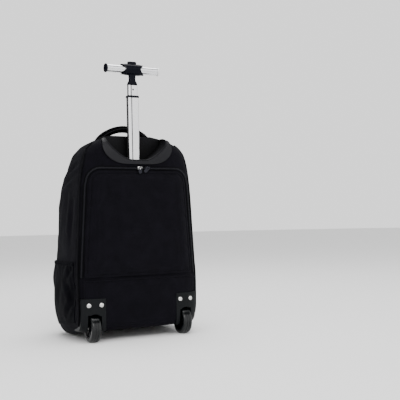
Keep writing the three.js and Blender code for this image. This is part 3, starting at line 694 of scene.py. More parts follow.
def woven_cloth(name, colour, thread, roughness=0.8, sheen=0.02, relief=0.5, wrinkle=0.35, gloss=0.04):
    """Plain-woven polyester: matt, with a soft light edge where it turns away and a fine square grain"""
    material, tree, shader = new_material(name, {
        "Roughness": roughness, "IOR": 1.45, "Specular IOR Level": gloss,
        "Sheen Weight": sheen, "Sheen Roughness": 0.55, "Sheen Tint": rgba([0.75, 0.77, 0.85]),
    })
    place = add_node(tree, "ShaderNodeTexCoord").outputs["Object"]
    cross = [bands(tree, place, axis, thread) for axis in ("X", "Y", "Z")]
    pair = add_node(tree, "ShaderNodeMath", {"operation": "ADD"},
                    {0: cross[0].outputs["Fac"], 1: cross[1].outputs["Fac"]})
    weave = add_node(tree, "ShaderNodeMath", {"operation": "ADD"},
                     {0: pair.outputs[0], 1: cross[2].outputs["Fac"]})
    patches = add_node(tree, "ShaderNodeTexNoise", {"Scale": 34.0, "Detail": 4.0, "Roughness": 0.55},
                       {"Vector": place})
    fuzz = add_node(tree, "ShaderNodeTexNoise", {"Scale": 900.0, "Detail": 2.0}, {"Vector": place})
    tint = add_node(tree, "ShaderNodeValToRGB", {}, {"Fac": patches.outputs["Fac"]})
    tint.color_ramp.elements[0].position = 0.35
    tint.color_ramp.elements[0].color = shade(colour, 0.82)
    tint.color_ramp.elements[1].position = 0.7
    tint.color_ramp.elements[1].color = shade(colour, 1.2)
    gaps = add_node(tree, "ShaderNodeMapRange", {"From Max": 3.0, "To Min": 0.7, "To Max": 1.18},
                    {"Value": weave.outputs[0]})
    mixed = add_node(tree, "ShaderNodeVectorMath", {"operation": "SCALE"},
                     {0: tint.outputs["Color"], "Scale": gaps.outputs[0]})
    # Painted shade: the cloth's colour darkens in its seams, creases and folds
    painted_fold_shade = paint_occlusion_shade(tree, mixed.outputs[0], 0.014, 0.35, 0.9, 0.3)
    tree.links.new(painted_fold_shade.outputs[0], shader.inputs["Base Color"])
    rough = add_node(tree, "ShaderNodeMapRange",
                     {"To Min": roughness - 0.08, "To Max": min(roughness + 0.1, 1.0)},
                     {"Value": fuzz.outputs["Fac"]})
    tree.links.new(rough.outputs[0], shader.inputs["Roughness"])
    folds = add_node(tree, "ShaderNodeTexNoise",
                     {"Scale": 26.0, "Detail": 5.0, "Roughness": 0.5, "Distortion": 0.6}, {"Vector": place})
    soft = add_node(tree, "ShaderNodeBump", {"Strength": wrinkle, "Distance": 0.004},
                    {"Height": folds.outputs["Fac"]})
    fine = add_node(tree, "ShaderNodeBump", {"Strength": relief, "Distance": 0.00035},
                    {"Height": weave.outputs[0], "Normal": soft.outputs["Normal"]})
    tree.links.new(fine.outputs["Normal"], shader.inputs["Normal"])
    return material


def moulded_plastic(name, colour, roughness=0.42, grain=0.7, relief=0.25, scuffs=0.12, gloss=0.12,
                    painted_corner_shade=None):
    """Injection-moulded plastic, spark-eroded: soft broad highlights, faint scuffs, painted shade in its
    corners
    """
    material, tree, shader = new_material(name, {
        "Roughness": roughness, "IOR": 1.5, "Specular IOR Level": gloss,
    })
    place = add_node(tree, "ShaderNodeTexCoord").outputs["Object"]
    grit = add_node(tree, "ShaderNodeTexNoise", {"Scale": 1000 / grain, "Detail": 2.0}, {"Vector": place})
    wear = add_node(tree, "ShaderNodeTexNoise", {"Scale": 45.0, "Detail": 6.0, "Roughness": 0.65},
                    {"Vector": place})
    tint = add_node(tree, "ShaderNodeValToRGB", {}, {"Fac": wear.outputs["Fac"]})
    tint.color_ramp.elements[0].position = 0.3
    tint.color_ramp.elements[0].color = shade(colour, 0.9)
    tint.color_ramp.elements[1].position = 0.75
    tint.color_ramp.elements[1].color = shade(colour, 1.12)
    tree.links.new(tint.outputs["Color"], shader.inputs["Base Color"])
    # Painted shade: the colour darkens in the plastic's corners and recesses
    if painted_corner_shade:
        corner_shaded_tint = paint_occlusion_shade(tree, tint.outputs["Color"], *painted_corner_shade)
        tree.links.new(corner_shaded_tint.outputs[0], shader.inputs["Base Color"])
    rough = add_node(tree, "ShaderNodeMapRange",
                     {"To Min": max(roughness - scuffs, 0.05), "To Max": roughness + scuffs},
                     {"Value": wear.outputs["Fac"]})
    tree.links.new(rough.outputs[0], shader.inputs["Roughness"])
    bump = add_node(tree, "ShaderNodeBump", {"Strength": relief, "Distance": 0.0002},
                    {"Height": grit.outputs["Fac"]})
    tree.links.new(bump.outputs["Normal"], shader.inputs["Normal"])
    return material


def bright_metal(name, colour, roughness=0.25, drawn=(1.0, 1.0, 1.0), relief=0.12, groove=False):
    """Metal with a fine drawn or polished grain, which stretches the highlights along the part"""
    material, tree, shader = new_material(name, {
        "Metallic": 1.0, "Roughness": roughness, "Base Color": rgba(colour),
    })
    place = add_node(tree, "ShaderNodeTexCoord").outputs["Object"]
    stretched = add_node(tree, "ShaderNodeMapping", {"Scale": drawn}, {"Vector": place})
    lines = add_node(tree, "ShaderNodeTexNoise", {"Scale": 1.0, "Detail": 3.0},
                     {"Vector": stretched.outputs["Vector"]})
    rough = add_node(tree, "ShaderNodeMapRange",
                     {"To Min": max(roughness - 0.06, 0.03), "To Max": roughness + 0.1},
                     {"Value": lines.outputs["Fac"]})
    tree.links.new(rough.outputs[0], shader.inputs["Roughness"])
    tint = add_node(tree, "ShaderNodeValToRGB", {}, {"Fac": lines.outputs["Fac"]})
    tint.color_ramp.elements[0].position = 0.3
    tint.color_ramp.elements[0].color = shade(colour, 0.93)
    tint.color_ramp.elements[1].position = 0.7
    tint.color_ramp.elements[1].color = rgba(colour)
    tree.links.new(tint.outputs["Color"], shader.inputs["Base Color"])
    if groove:
        # Painted shade: the bottom of the groove is coloured nearly black for the shadow and dark reflection
        # in it, so it reads as a dark line down the tube
        across = add_node(tree, "ShaderNodeSeparateXYZ", {}, {0: place})
        inside = add_node(tree, "ShaderNodeMath", {
            "operation": "COMPARE", 1: MIDDLE_TUBE["wide"] * GROOVE_PLACE / 1000, 2: 1.5 * GROOVE_WIDE / 2000,
        }, {0: across.outputs["X"]})
        painted_groove_shade = add_node(tree, "ShaderNodeMix", {"data_type": "RGBA", 7: shade(colour, 0.03)},
                          {0: inside.outputs[0], 6: tint.outputs["Color"]})
        tree.links.new(painted_groove_shade.outputs[2], shader.inputs["Base Color"])
    bump = add_node(tree, "ShaderNodeBump", {"Strength": relief, "Distance": 0.0001},
                    {"Height": lines.outputs["Fac"]})
    tree.links.new(bump.outputs["Normal"], shader.inputs["Normal"])
    return material


def webbing_cloth(name, colour):
    """Ribbed polyester webbing and padded binding: a close, slightly glossy rib across its length"""
    return woven_cloth(name, colour, thread=2.0, roughness=0.7, sheen=0.0, relief=0.8, wrinkle=0.12,
                       gloss=0.01)


MATERIALS = {}


def make_materials(colours, sizes):
    MATERIALS.clear()
    thread = sizes.thread_spacing * 1000
    MATERIALS.update({
        "body": woven_cloth("black_polyester_600d_woven", colours.body_cloth, thread),
        # Painted shade: the pockets get a darker copy of the body's cloth
        "pouch": woven_cloth("black_polyester_pocket_shade_painted", colours.pouch_shade_painted_cloth, thread),
        "panel": woven_cloth("black_polyester_padded_woven", colours.panel_cloth, thread, roughness=0.78,
                             wrinkle=0.22),
        "binding": woven_cloth("black_binding_tape_woven", colours.binding, 1.0, roughness=0.55, relief=0.3,
                               wrinkle=0.05),
        "webbing": webbing_cloth("black_nylon_webbing_woven", colours.webbing),
        "thread": woven_cloth("black_polyester_thread_twisted", colours.thread, 0.6, roughness=0.5,
                              wrinkle=0.0),
        "tape": woven_cloth("black_zip_tape_woven", colours.webbing, 0.8, roughness=0.75, wrinkle=0.05),
        "coil": moulded_plastic("grey_nylon_coil_extruded", colours.zip_coil, 0.35, 0.5, 0.1),
        # The tray's hollow gets painted shade, darkest in its lower corners
        "tray": moulded_plastic("grey_abs_moulded", colours.tray_plastic, 0.5, 0.8, 0.3, gloss=0.06,
                                painted_corner_shade=(0.11, 0.4, 0.9, 0.16)),
        "rim": moulded_plastic("grey_abs_moulded_rim", colours.rim_plastic, 0.45, 0.8, 0.3),
        "housing": moulded_plastic("grey_polypropylene_moulded", colours.housing_plastic, 0.38, 0.9, 0.35,
                                   gloss=0.09),
        # Painted shade in the corners of the hub, button, caps and wheel cores
        "black": moulded_plastic("black_abs_moulded", colours.black_plastic, 0.3, 0.6, 0.15, 0.06, 0.06,
                                 (0.06, 0.2, 0.85, 0.12)),
        "cap": moulded_plastic("light_grey_abs_moulded", colours.cap_plastic, 0.35, 0.6, 0.1, 0.05, 0.5),
        "tyre": moulded_plastic("black_polyurethane_cast", colours.tyre, 0.2, 0.6, 0.1, 0.06, 0.3),
        "pole": bright_metal("aluminium_anodised_drawn", colours.pole, 0.24, (2600, 2600, 14), groove=True),
        "bar": bright_metal("steel_chromed_polished", colours.chrome, 0.08, (30, 900, 900), 0.03),
        "rivet": bright_metal("steel_nickelled_stamped", colours.rivet, 0.2, (400, 400, 400)),
        "pull": bright_metal("zinc_nickelled_cast", colours.rivet, 0.24, (300, 300, 300)),
        "dark_pull": bright_metal("zinc_black_nickelled_cast", colours.dark_nickel, 0.22, (300, 300, 300)),
        "axle": bright_metal("steel_zinc_plated_turned", colours.rivet, 0.35, (1500, 200, 200)),
    })


# Pieces of the bag

def through(half, grow, depth, lip=0.0):
    """Closed solid inside an outline, from behind the bag to a depth, with an eased lip where asked"""
    right = half * (TRAY_WIDTH / 2, TRAY_DEEP) + (0, TRAY_FLOOR)
    line = np.concatenate([right[::-1] * (-1, 1), right])
    for _ in range(3):
        near = line[:-1] * 0.75 + line[1:] * 0.25
        far = line[:-1] * 0.25 + line[1:] * 0.75
        line = np.concatenate([line[:1], np.stack([near, far], axis=1).reshape(-1, 2), line[-1:]])
    run = directions(line)
    out = np.stack([run[:, 1], -run[:, 0]], axis=-1)
    rings = []
    for place, part in ((-BACK_DEPTH - PAST, 1), (-BACK_DEPTH - 3.2, 1), (-BACK_DEPTH - 2.8, 0.62),
                        (-BACK_DEPTH - 2.0, 0.36), (-BACK_DEPTH - 0.8, 0.16), (-BACK_DEPTH + 1.0, 0.04),
                        (-BACK_DEPTH + 3.0, 0), (-70, 0), (depth, 0)):
        ring = line + out * (grow + lip * part)
        rings.append(np.stack([ring[:, 0], np.full(len(ring), place), ring[:, 1]], axis=-1))
    return loft(rings)


def mouth_piece(grow, lip=0.0):
    return make_mesh("mouth_tool", *through(MOUTH, grow, TRAY_BACK_WALL + grow, lip))


def hull_points(grow, around=240, rows=130, with_folds=False):
    """Closed solid of the body's outside, with its waves and creases where asked"""
    share = np.unique(np.concatenate([SECTIONS[:, 0], np.linspace(0, 0.06, 10), np.linspace(0, 1, rows),
                                      np.linspace(0.93, 1, 16)]))
    angle = turns(around)
    turn, up = np.meshgrid(angle, share)
    base = skin(turn, up, grow)
    if with_folds:
        quiet = 1 - smooth((base[..., 2] - 395) / 40) * smooth((-base[..., 1] - 30) / 40)
        lift = creases(base) + 0.9 * waves(base, 95, 3) + 0.35 * waves(base, 34, 8)
        base = skin(turn, up, grow + lift * quiet)
    rings = [skin(angle, np.zeros(around), grow, scale) for scale in (0.12, 0.3, 0.5, 0.68, 0.82, 0.92)]
    rings += list(base)
    rings += [skin(angle, np.ones(around), grow, scale) for scale in (0.94, 0.8, 0.6, 0.4, 0.2)]
    return loft(rings)


def housing_tool(side, grow, below):
    low = WHEEL_SIDE - HOUSING_INWARD - grow
    high = WHEEL_SIDE + HOUSING_OUTWARD + grow
    front = WHEEL_DEPTH + WHEEL_RADIUS + WHEEL_ROOM + HOUSING_WALL + grow
    x0, x1 = sorted((side * low, side * high))
    return make_mesh("housing_tool", *box_points(x0, x1, -BACK_DEPTH - PAST, front,
                                                 BACK_LIFT - HOUSING_PROUD - below, HOUSING_TOP + grow))


def build_body():
    body = make_mesh("bag_body", *hull_points(0, 480, 260, with_folds=True))
    combine(body, mouth_piece(TRAY_WALL + SEAT))
    for side in (-1, 1):
        combine(body, housing_tool(side, SEAT, PAST))
    dress(body, "bag", MATERIALS["body"], ["body_shell"], 50)
    build_piping()


def cover_half(z):
    rise = COVER_TOP - COVER_BOTTOM
    return COVER_LOW_HALF - (COVER_LOW_HALF - COVER_HIGH_HALF) * (z - COVER_BOTTOM) / rise


def zip_line(offset):
    """Path of the zip at an offset from the edge of the cover: up the left, over and down the right"""
    corner = ZIP_CORNER + offset
    centre_across = cover_half(COVER_TOP) + ZIP_GAP - ZIP_CORNER
    centre_up = COVER_TOP + ZIP_GAP - ZIP_CORNER
    z = np.linspace(COVER_BOTTOM, centre_up, 60, endpoint=False)
    half = [np.stack([cover_half(z) + ZIP_GAP + offset, z], axis=-1)]
    angle = np.linspace(0, math.pi / 2, 20)
    half.append(np.stack([centre_across + corner * np.cos(angle),
                          centre_up + corner * np.sin(angle)], axis=-1))
    x = np.linspace(centre_across, 0, 40)[1:]
    half.append(np.stack([x, np.full(len(x), centre_up + corner)], axis=-1))
    half = np.concatenate(half)
    return np.concatenate([half * (-1, 1), half[-2::-1]])


def build_piping():
    """Corded seam piping down the back corners, from the shoulders to the base"""
    for word, side in (("left", -1), ("right", 1)):
        z = np.concatenate([np.linspace(34, 360, 80), np.linspace(364, 470, 40)])
        straight = np.interp(z, PIPING_LINE[:, 0], PIPING_LINE[:, 1])
        wide, _, _, _ = section(share_at(z))
        x = side * np.minimum(straight, wide * 0.972)
        path = on_back(x, z)
        normals = back_normal(x, z)
        piping = make_mesh("seam_piping_" + word, *swept(path + normals * 0.9, normals, circle(1.9, 10)))
        dress(piping, "bag", MATERIALS["binding"])
        run = directions(path)
        across = np.cross(run, normals)
        for k, offset in enumerate((-4.2, 4.2)):
            lane = path + across * offset + normals * 0.2
            row = make_mesh("piping_stitches_" + word + "_" + str(k + 1), *stitches(lane, normals))
            dress(row, "bag", MATERIALS["thread"])


def build_tray():
    tray = mouth_piece(TRAY_WALL)
    tray.name = "handle_tray_moulding"
    combine(tray, mouth_piece(0, 2.0))
    combine(tray, make_mesh("shell_tool", *hull_points(BEZEL_PROUD)), "INTERSECT")
    hole = rounded_outline(MIDDLE_TUBE["wide"] + 2 * SLIDE_GAP, MIDDLE_TUBE["deep"] + 2 * SLIDE_GAP,
                           MIDDLE_TUBE["corner"] + SLIDE_GAP)
    rings = [np.column_stack([hole[:, 0], hole[:, 1] + POLE_DEPTH, np.full(len(hole), z)])
             for z in (TRAY_FLOOR - PAST, TRAY_FLOOR + PAST)]
    combine(tray, make_mesh("hole_tool", *loft(rings)))
    dress(tray, "bag", MATERIALS["tray"], ["handle_tray"], 35)
    rim = make_mesh("tray_rim_moulding", *through(RIM, 0, -BACK_DEPTH + BEZEL_LAP))
    combine(rim, mouth_piece(TRAY_WALL + SEAT))
    combine(rim, make_mesh("shell_tool", *hull_points(BEZEL_PROUD + 0.2)), "INTERSECT")
    combine(rim, make_mesh("shell_tool", *hull_points(SEAT)))
    rounded_off(rim, 0.55, 6)
    dress(rim, "bag", MATERIALS["rim"], ["tray_rim"], 60)


def outline_gap(points, outline):
    """Distance from each point to a closed outline"""
    gap = np.full(points.shape[:-1], 1e9)
    for start, end in zip(outline, np.roll(outline, -1, axis=0)):
        run = end - start
        t = np.clip(((points - start) @ run) / max(run @ run, 1e-9), 0, 1)
        gap = np.minimum(gap, np.linalg.norm(points - start - t[..., None] * run, axis=-1))
    return gap


def cover_outline(inset=0.0):
    """Closed outline of the cover, from the middle of its lower edge round to the right"""
    corner = ZIP_CORNER - ZIP_GAP - inset
    low_corner = 7.0
    top = COVER_TOP - inset
    bottom = COVER_BOTTOM + inset
    centre_across = cover_half(COVER_TOP) - ZIP_CORNER + ZIP_GAP
    half = [(0.0, bottom), (COVER_LOW_HALF - inset - low_corner, bottom)]
    for k in range(1, 6):
        angle = math.radians(-90 + 90 * k / 5)
        half.append((COVER_LOW_HALF - inset - low_corner + low_corner * math.cos(angle),
                     bottom + low_corner + low_corner * math.sin(angle)))
    for k in range(13):
        angle = math.radians(90 * k / 12)
        half.append((centre_across + corner * math.cos(angle),
                     top - corner + corner * math.sin(angle)))
    half.append((0.0, top))
    half = np.array(half)
    return np.concatenate([half, half[-2:0:-1] * (-1, 1)])


def spread_over(outline, count, crowd=1.5):
    """Grid of points over a closed outline, in nested copies of it, crowded towards its edge"""
    closed = np.concatenate([outline, outline[:1]])
    run = np.concatenate([[0], np.cumsum(np.linalg.norm(np.diff(closed, axis=0), axis=1))])
    v, u = np.meshgrid(np.linspace(-1, 1, count), np.linspace(-1, 1, count), indexing="ij")
    reach = np.maximum(np.maximum(np.abs(u), np.abs(v)), 1e-9)
    a = u / reach
    b = v / reach
    low = np.abs(b + 1) < 1e-6
    right = np.abs(a - 1) < 1e-6
    high = np.abs(b - 1) < 1e-6
    place = np.where(low, a / 8, np.where(right, 1 / 8 + (b + 1) / 8, np.where(high, 3 / 8 + (1 - a) / 8,
                                                                            5 / 8 + (1 - b) / 8)))
    place = (place % 1.0) * run[-1]
    edge = np.stack([np.interp(place, run, closed[:, k]) for k in range(2)], axis=-1)
    centre = np.array([0.0, (outline[:, 1].min() + outline[:, 1].max()) / 2])
    crowded = 1 - (1 - reach) ** crowd
    return centre + (edge - centre) * crowded[..., None]


def build_cover():
    outline = cover_outline()
    flat = spread_over(outline, 150)
    gap = outline_gap(flat, outline)
    x, z = flat[..., 0], flat[..., 1]
    base = on_back(x, z)
    normal = back_normal(x, z)
    pad = COVER_EDGE + (COVER_PROUD - COVER_EDGE) * smooth(gap / 22)
    rolled = np.sqrt(np.clip(1 - (1 - np.clip(gap / 2.2, 0, 1)) ** 2, 0, 1))
    seam = 0.9 * np.exp(-((gap - 6.5) / 1.3) ** 2)
    gathers = 0.35 * waves(base, 16, 21) * np.exp(-((gap - 9) / 9) ** 2)
    slack = 0.9 * waves(base, 120, 5) + 0.3 * waves(base, 42, 6)
    lift = (pad - seam + gathers + slack * smooth(gap / 25)) * rolled - 0.8 * (1 - rolled)
    top = base + normal * lift[..., None]
    under = base + normal * np.where(gap > 0.5, SEAT, -0.9)[..., None]
    cover = make_mesh("harness_cover", *slab(top, under))
    dress(cover, "bag", MATERIALS["panel"], ["back_cover"], 60)
    lane = resampled(np.concatenate([cover_outline(6.5), cover_outline(6.5)[:1]]), 2.0)
    out = back_normal(lane[:, 0], lane[:, 1])
    path = on_back(lane[:, 0], lane[:, 1]) + out * 2.5
    row = make_mesh("cover_stitches", *stitches(path, out))
    dress(row, "bag", MATERIALS["thread"])


def build_zip():
    inner = zip_line(0.0)
    outer = zip_line(ZIP_WIDTH)
    part = np.linspace(0, 1, 13)
    x = inner[:, None, 0] * (1 - part) + outer[:, None, 0] * part
    z = inner[:, None, 1] * (1 - part) + outer[:, None, 1] * part
    base = on_back(x, z)
    normal = back_normal(x, z)
    lift = np.array([0.5, 0.9, 1.0, 1.05, 0.9, 0.7, 0.65, 0.7, 0.9, 1.05, 1.0, 0.9, 0.5])
    top = base + normal * lift[None, :, None]
    tape = make_mesh("zip_tapes", *slab(top, base + normal * -0.4))
    dress(tape, "bag", MATERIALS["tape"], ["cover_zip"], 60)
    middle = resampled(zip_line(ZIP_WIDTH / 2), 0.85)
    out = back_normal(middle[:, 0], middle[:, 1])
    path = on_back(middle[:, 0], middle[:, 1])
    across = np.cross(directions(path), out)
    teeth = []
    for k in range(1, len(path) - 1):
        slide = 0.55 if k % 2 else -0.55
        ends = np.linspace(-1.9, 1.9, 5)[:, None] + slide
        line = path[k] + across[k] * ends + out[k] * np.array([0.75, 1.35, 1.5, 1.35, 0.75])[:, None]
        upright = np.repeat(out[k][None], 5, axis=0)
        teeth.append(swept(line, upright, circle(0.52, 6), sizes=[0.6, 1, 1, 1, 0.6]))
    coil = make_mesh("zip_coil", *joined(teeth))
    dress(coil, "bag", MATERIALS["coil"])
    build_pull(1, 1.0, 0.05, MATERIALS["pull"])
    build_pull(2, 21.0, 0.75, MATERIALS["dark_pull"])


def stadium(wide, high, steps=10):
    return rounded_outline(wide, high, wide / 2 - 0.01, steps)


def build_pull(number, across, turn, material):
    """Zip slider with a bridge, and a flat round-ended tab with an eye"""
    z = COVER_TOP + ZIP_GAP + ZIP_WIDTH / 2
    face = float(back_face(np.array(across), np.array(z), ZIP_PROUD + SEAT))
    parts = []
    rings = []
    for out, grow in ((0.0, -0.5), (-0.4, 0.0), (-1.9, 0.0), (-2.3, -0.5)):
        shape = rounded_outline(11 + 2 * grow, 7.2 + 2 * grow, 2.2, 5)
        rings.append(np.column_stack([shape[:, 0], np.full(len(shape), out), shape[:, 1]]))
    parts.append(loft(rings))
    arch = np.array([[-4.0, -2.0, 0], [-3.4, -3.1, 0], [-1.5, -3.7, 0],
                     [1.5, -3.7, 0], [3.4, -3.1, 0], [4.0, -2.0, 0]])
    parts.append(swept(arch, np.tile([0.0, 0.0, 1.0], (6, 1)), circle(0.8, 8)))
    wide, long, thick = 9.0, 17.0, 1.8
    plate = []
    eye = (3.6, 4.4)
    for inset, out in ((0.45, 0.0), (0.0, 0.45), (0.0, thick - 0.45), (0.45, thick)):
        shape = stadium(wide - 2 * inset, long - 2 * inset)
        plate.append(np.column_stack([shape[:, 0], np.full(len(shape), -out), shape[:, 1]]))
    for inset, out in ((0.35, thick), (0.0, thick - 0.35), (0.0, 0.35), (0.35, 0.0)):
        shape = stadium(eye[0] + 2 * inset, eye[1] + 2 * inset)
        plate.append(np.column_stack([shape[:, 0], np.full(len(shape), -out), shape[:, 1] + 3.8]))
    points, faces = ring_loft(plate)
    points = points + (0, -2.6, -long / 2 + 3)
    spin = np.array(Matrix.Rotation(turn, 3, "Y"))
    tab = make_mesh("zip_tab_" + str(number), points @ spin.T + (across, face, z), faces)
    dress(tab, "bag", MATERIALS["dark_pull"], [], 30)
    points, faces = joined(parts)
    slider = make_mesh("zip_slider_" + str(number), points + (across, face, z), faces)
    dress(slider, "bag", material, ["zip_pull_" + str(number)], 30)


def build_lower_panel():
    corners = [[0, PANEL_BOTTOM], [PANEL_HALF, PANEL_BOTTOM], [PANEL_HALF, PANEL_TOP], [0, PANEL_TOP]]
    outline = resampled(corners, 4.0)
    whole = np.concatenate([outline, outline[-2:0:-1] * (-1, 1)])
    flat = spread_over(whole, 130, 1.3)
    gap = outline_gap(flat, whole)
    base = on_back(flat[..., 0], flat[..., 1])
    normal = back_normal(flat[..., 0], flat[..., 1])
    rolled = np.sqrt(np.clip(1 - (1 - np.clip(gap / 1.6, 0, 1)) ** 2, 0, 1))
    lift = PANEL_PROUD + 0.5 * smooth(gap / 20) + 0.5 * waves(base, 70, 12) * smooth(gap / 14)
    lift += creases(base) * 0.6 - 0.5 * np.exp(-((gap - 5) / 1.2) ** 2)
    top = base + normal * (lift * rolled - 0.8 * (1 - rolled))[..., None]
    under = base + normal * np.where(gap > 0.5, SEAT, -0.9)[..., None]
    panel = make_mesh("lower_back_panel", *slab(top, under))
    for side in (-1, 1):
        combine(panel, housing_tool(side, SEAT, PAST))
    dress(panel, "bag", MATERIALS["panel"], ["lower_panel"], 60)
    x = np.linspace(-136, 136, 140)
    z = np.full_like(x, PANEL_TOP - 5)
    out = back_normal(x, z)
    path = on_back(x, z) + out * (PANEL_PROUD + 0.2)
    row = make_mesh("panel_stitches_1", *stitches(path, out))
    dress(row, "bag", MATERIALS["thread"])


def build_pockets():
    for word, side in (("left", -1), ("right", 1)):
        u = np.linspace(0, 1, 150)
        v = np.concatenate([np.linspace(0, 0.9, 100, endpoint=False), np.linspace(0.9, 1, 28)])
        across, up = np.meshgrid(u, v)
        share = POCKET_LOW + (POCKET_HIGH - POCKET_LOW) * up
        depth = POCKET_BACK + (POCKET_FRONT - POCKET_BACK) * across
        base = side_point(side, depth, share)
        normal = grid_normals(base, (0.0, 0.0, 120.0))
        height = (POCKET_HIGH - POCKET_LOW) * (BAG_TOP - BACK_LIFT)
        below = (1 - up) * height
        edge = np.minimum(across, 1 - across) * (POCKET_FRONT - POCKET_BACK)
        edge = np.minimum(edge, up * height)
        fullness = 2.4 + 2.6 * np.sin(math.pi * across) * smooth(up * 2) * smooth(edge / 30)
        pleat = np.sin(2 * math.pi * (across * 11 + 0.35 * np.sin(across * 17 + side)))
        gather = 0.9 * pleat * np.exp(-below / 26) * smooth(edge / 12)
        folds = creases(base) * smooth(edge / 8) + 0.8 * waves(base, 60, 31 + side) * smooth(edge / 16)
        taper = np.sqrt(np.clip(1 - (1 - np.clip(edge / 2.0, 0, 1)) ** 2, 0, 1))
        lift = (fullness + gather + folds) * taper
        hem = smooth((POCKET_HEM - below) / 1.6)
        ripple = 0.45 * np.sin(2 * math.pi * across * 34) * smooth(edge / 8)
        roll = np.sqrt(np.clip(1 - ((below - POCKET_HEM / 2) / (POCKET_HEM / 2)) ** 2, 0, 1))
        band = 2.6 + 2.0 * roll + ripple * roll + 0.5 * gather
        lift = lift * (1 - hem) + band * hem * np.maximum(taper, 0.3)
        top = base + normal * np.maximum(lift, 0.5)[..., None]
        pocket = make_mesh("side_pouch_" + word, *slab(top, base + normal * -0.6))
        combine(pocket, housing_tool(side, SEAT, PAST))
        dress(pocket, "bag", MATERIALS["pouch"], ["side_pocket_" + word], 60)
        row = int(np.argmin(np.abs(below[:, 0] - POCKET_HEM - 1.5)))
        path = top[row, 3:-3]
        lane = make_mesh("pouch_stitches_" + word, *stitches(path, normal[row, 3:-3]))
        dress(lane, "bag", MATERIALS["thread"])


def build_haul_handle():
    arch = np.array(HAUL_ARCH) * (HAUL_SPAN, HAUL_RISE)
    steps = np.linspace(0, len(arch) - 1, 90)
    known = np.arange(len(arch))
    path = np.zeros((len(steps), 3))
    for k, column in ((0, 0), (2, 1)):
        values = arch[:, column]
        slope = np.gradient(values)
        low = np.clip(steps.astype(int), 0, len(arch) - 2)
        t = steps - known[low]
        path[:, k] = (values[low] * (1 + 2 * t) * (1 - t) ** 2 + slope[low] * t * (1 - t) ** 2
                      + values[low + 1] * t * t * (3 - 2 * t) - slope[low + 1] * t * t * (1 - t))
    path[:, 2] += BAG_TOP - 10
    run = directions(path)
    out = np.cross(np.tile([0.0, 1.0, 0.0], (len(path), 1)), run)
    out *= np.where(out[:, 2:] < 0, -1.0, 1.0)
    angles = np.linspace(0, 2 * math.pi, 40, endpoint=False)
    power = 2 / 2.3
    section_across = HAUL_DEEP / 2 * np.sign(np.cos(angles)) * np.abs(np.cos(angles)) ** power
    section_out = HAUL_THICK / 2 * np.sign(np.sin(angles)) * np.abs(np.sin(angles)) ** power
    pinch = 1 - 0.10 * np.exp(-((np.abs(section_across) - HAUL_DEEP / 2 + 3.2) / 1.0) ** 2)
    rings = []
    for k, centre in enumerate(path):
        wrinkle = 1 + 0.012 * math.sin(k * 1.7) + 0.01 * math.sin(k * 0.6 + 1)
        side = np.array([0.0, 1.0, 0.0])
        thick = section_out * pinch * wrinkle
        rings.append(centre + side * section_across[:, None] + out[k] * thick[:, None])
    pad = make_mesh("haul_handle_pad", *loft(rings))
    combine(pad, make_mesh("shell_tool", *hull_points(SEAT)))
    dress(pad, "bag", MATERIALS["webbing"], ["haul_handle"], 60)
    for word, side in (("back", -1), ("front", 1)):
        inside = path[8:-8]
        lane = inside + np.array([0.0, side * (HAUL_DEEP / 2 - 0.4), 0.0])
        piping = make_mesh("haul_piping_" + word, *swept(lane, out[8:-8], circle(1.5, 10)))
        dress(piping, "bag", MATERIALS["binding"])
        lane = inside + np.array([0.0, side * (HAUL_DEEP / 2 - 4.2), 0.0])
        lane = lane + out[8:-8] * (HAUL_THICK / 2 * 0.86)
        row = make_mesh("haul_stitches_" + word, *stitches(lane, out[8:-8]))
        dress(row, "bag", MATERIALS["thread"])


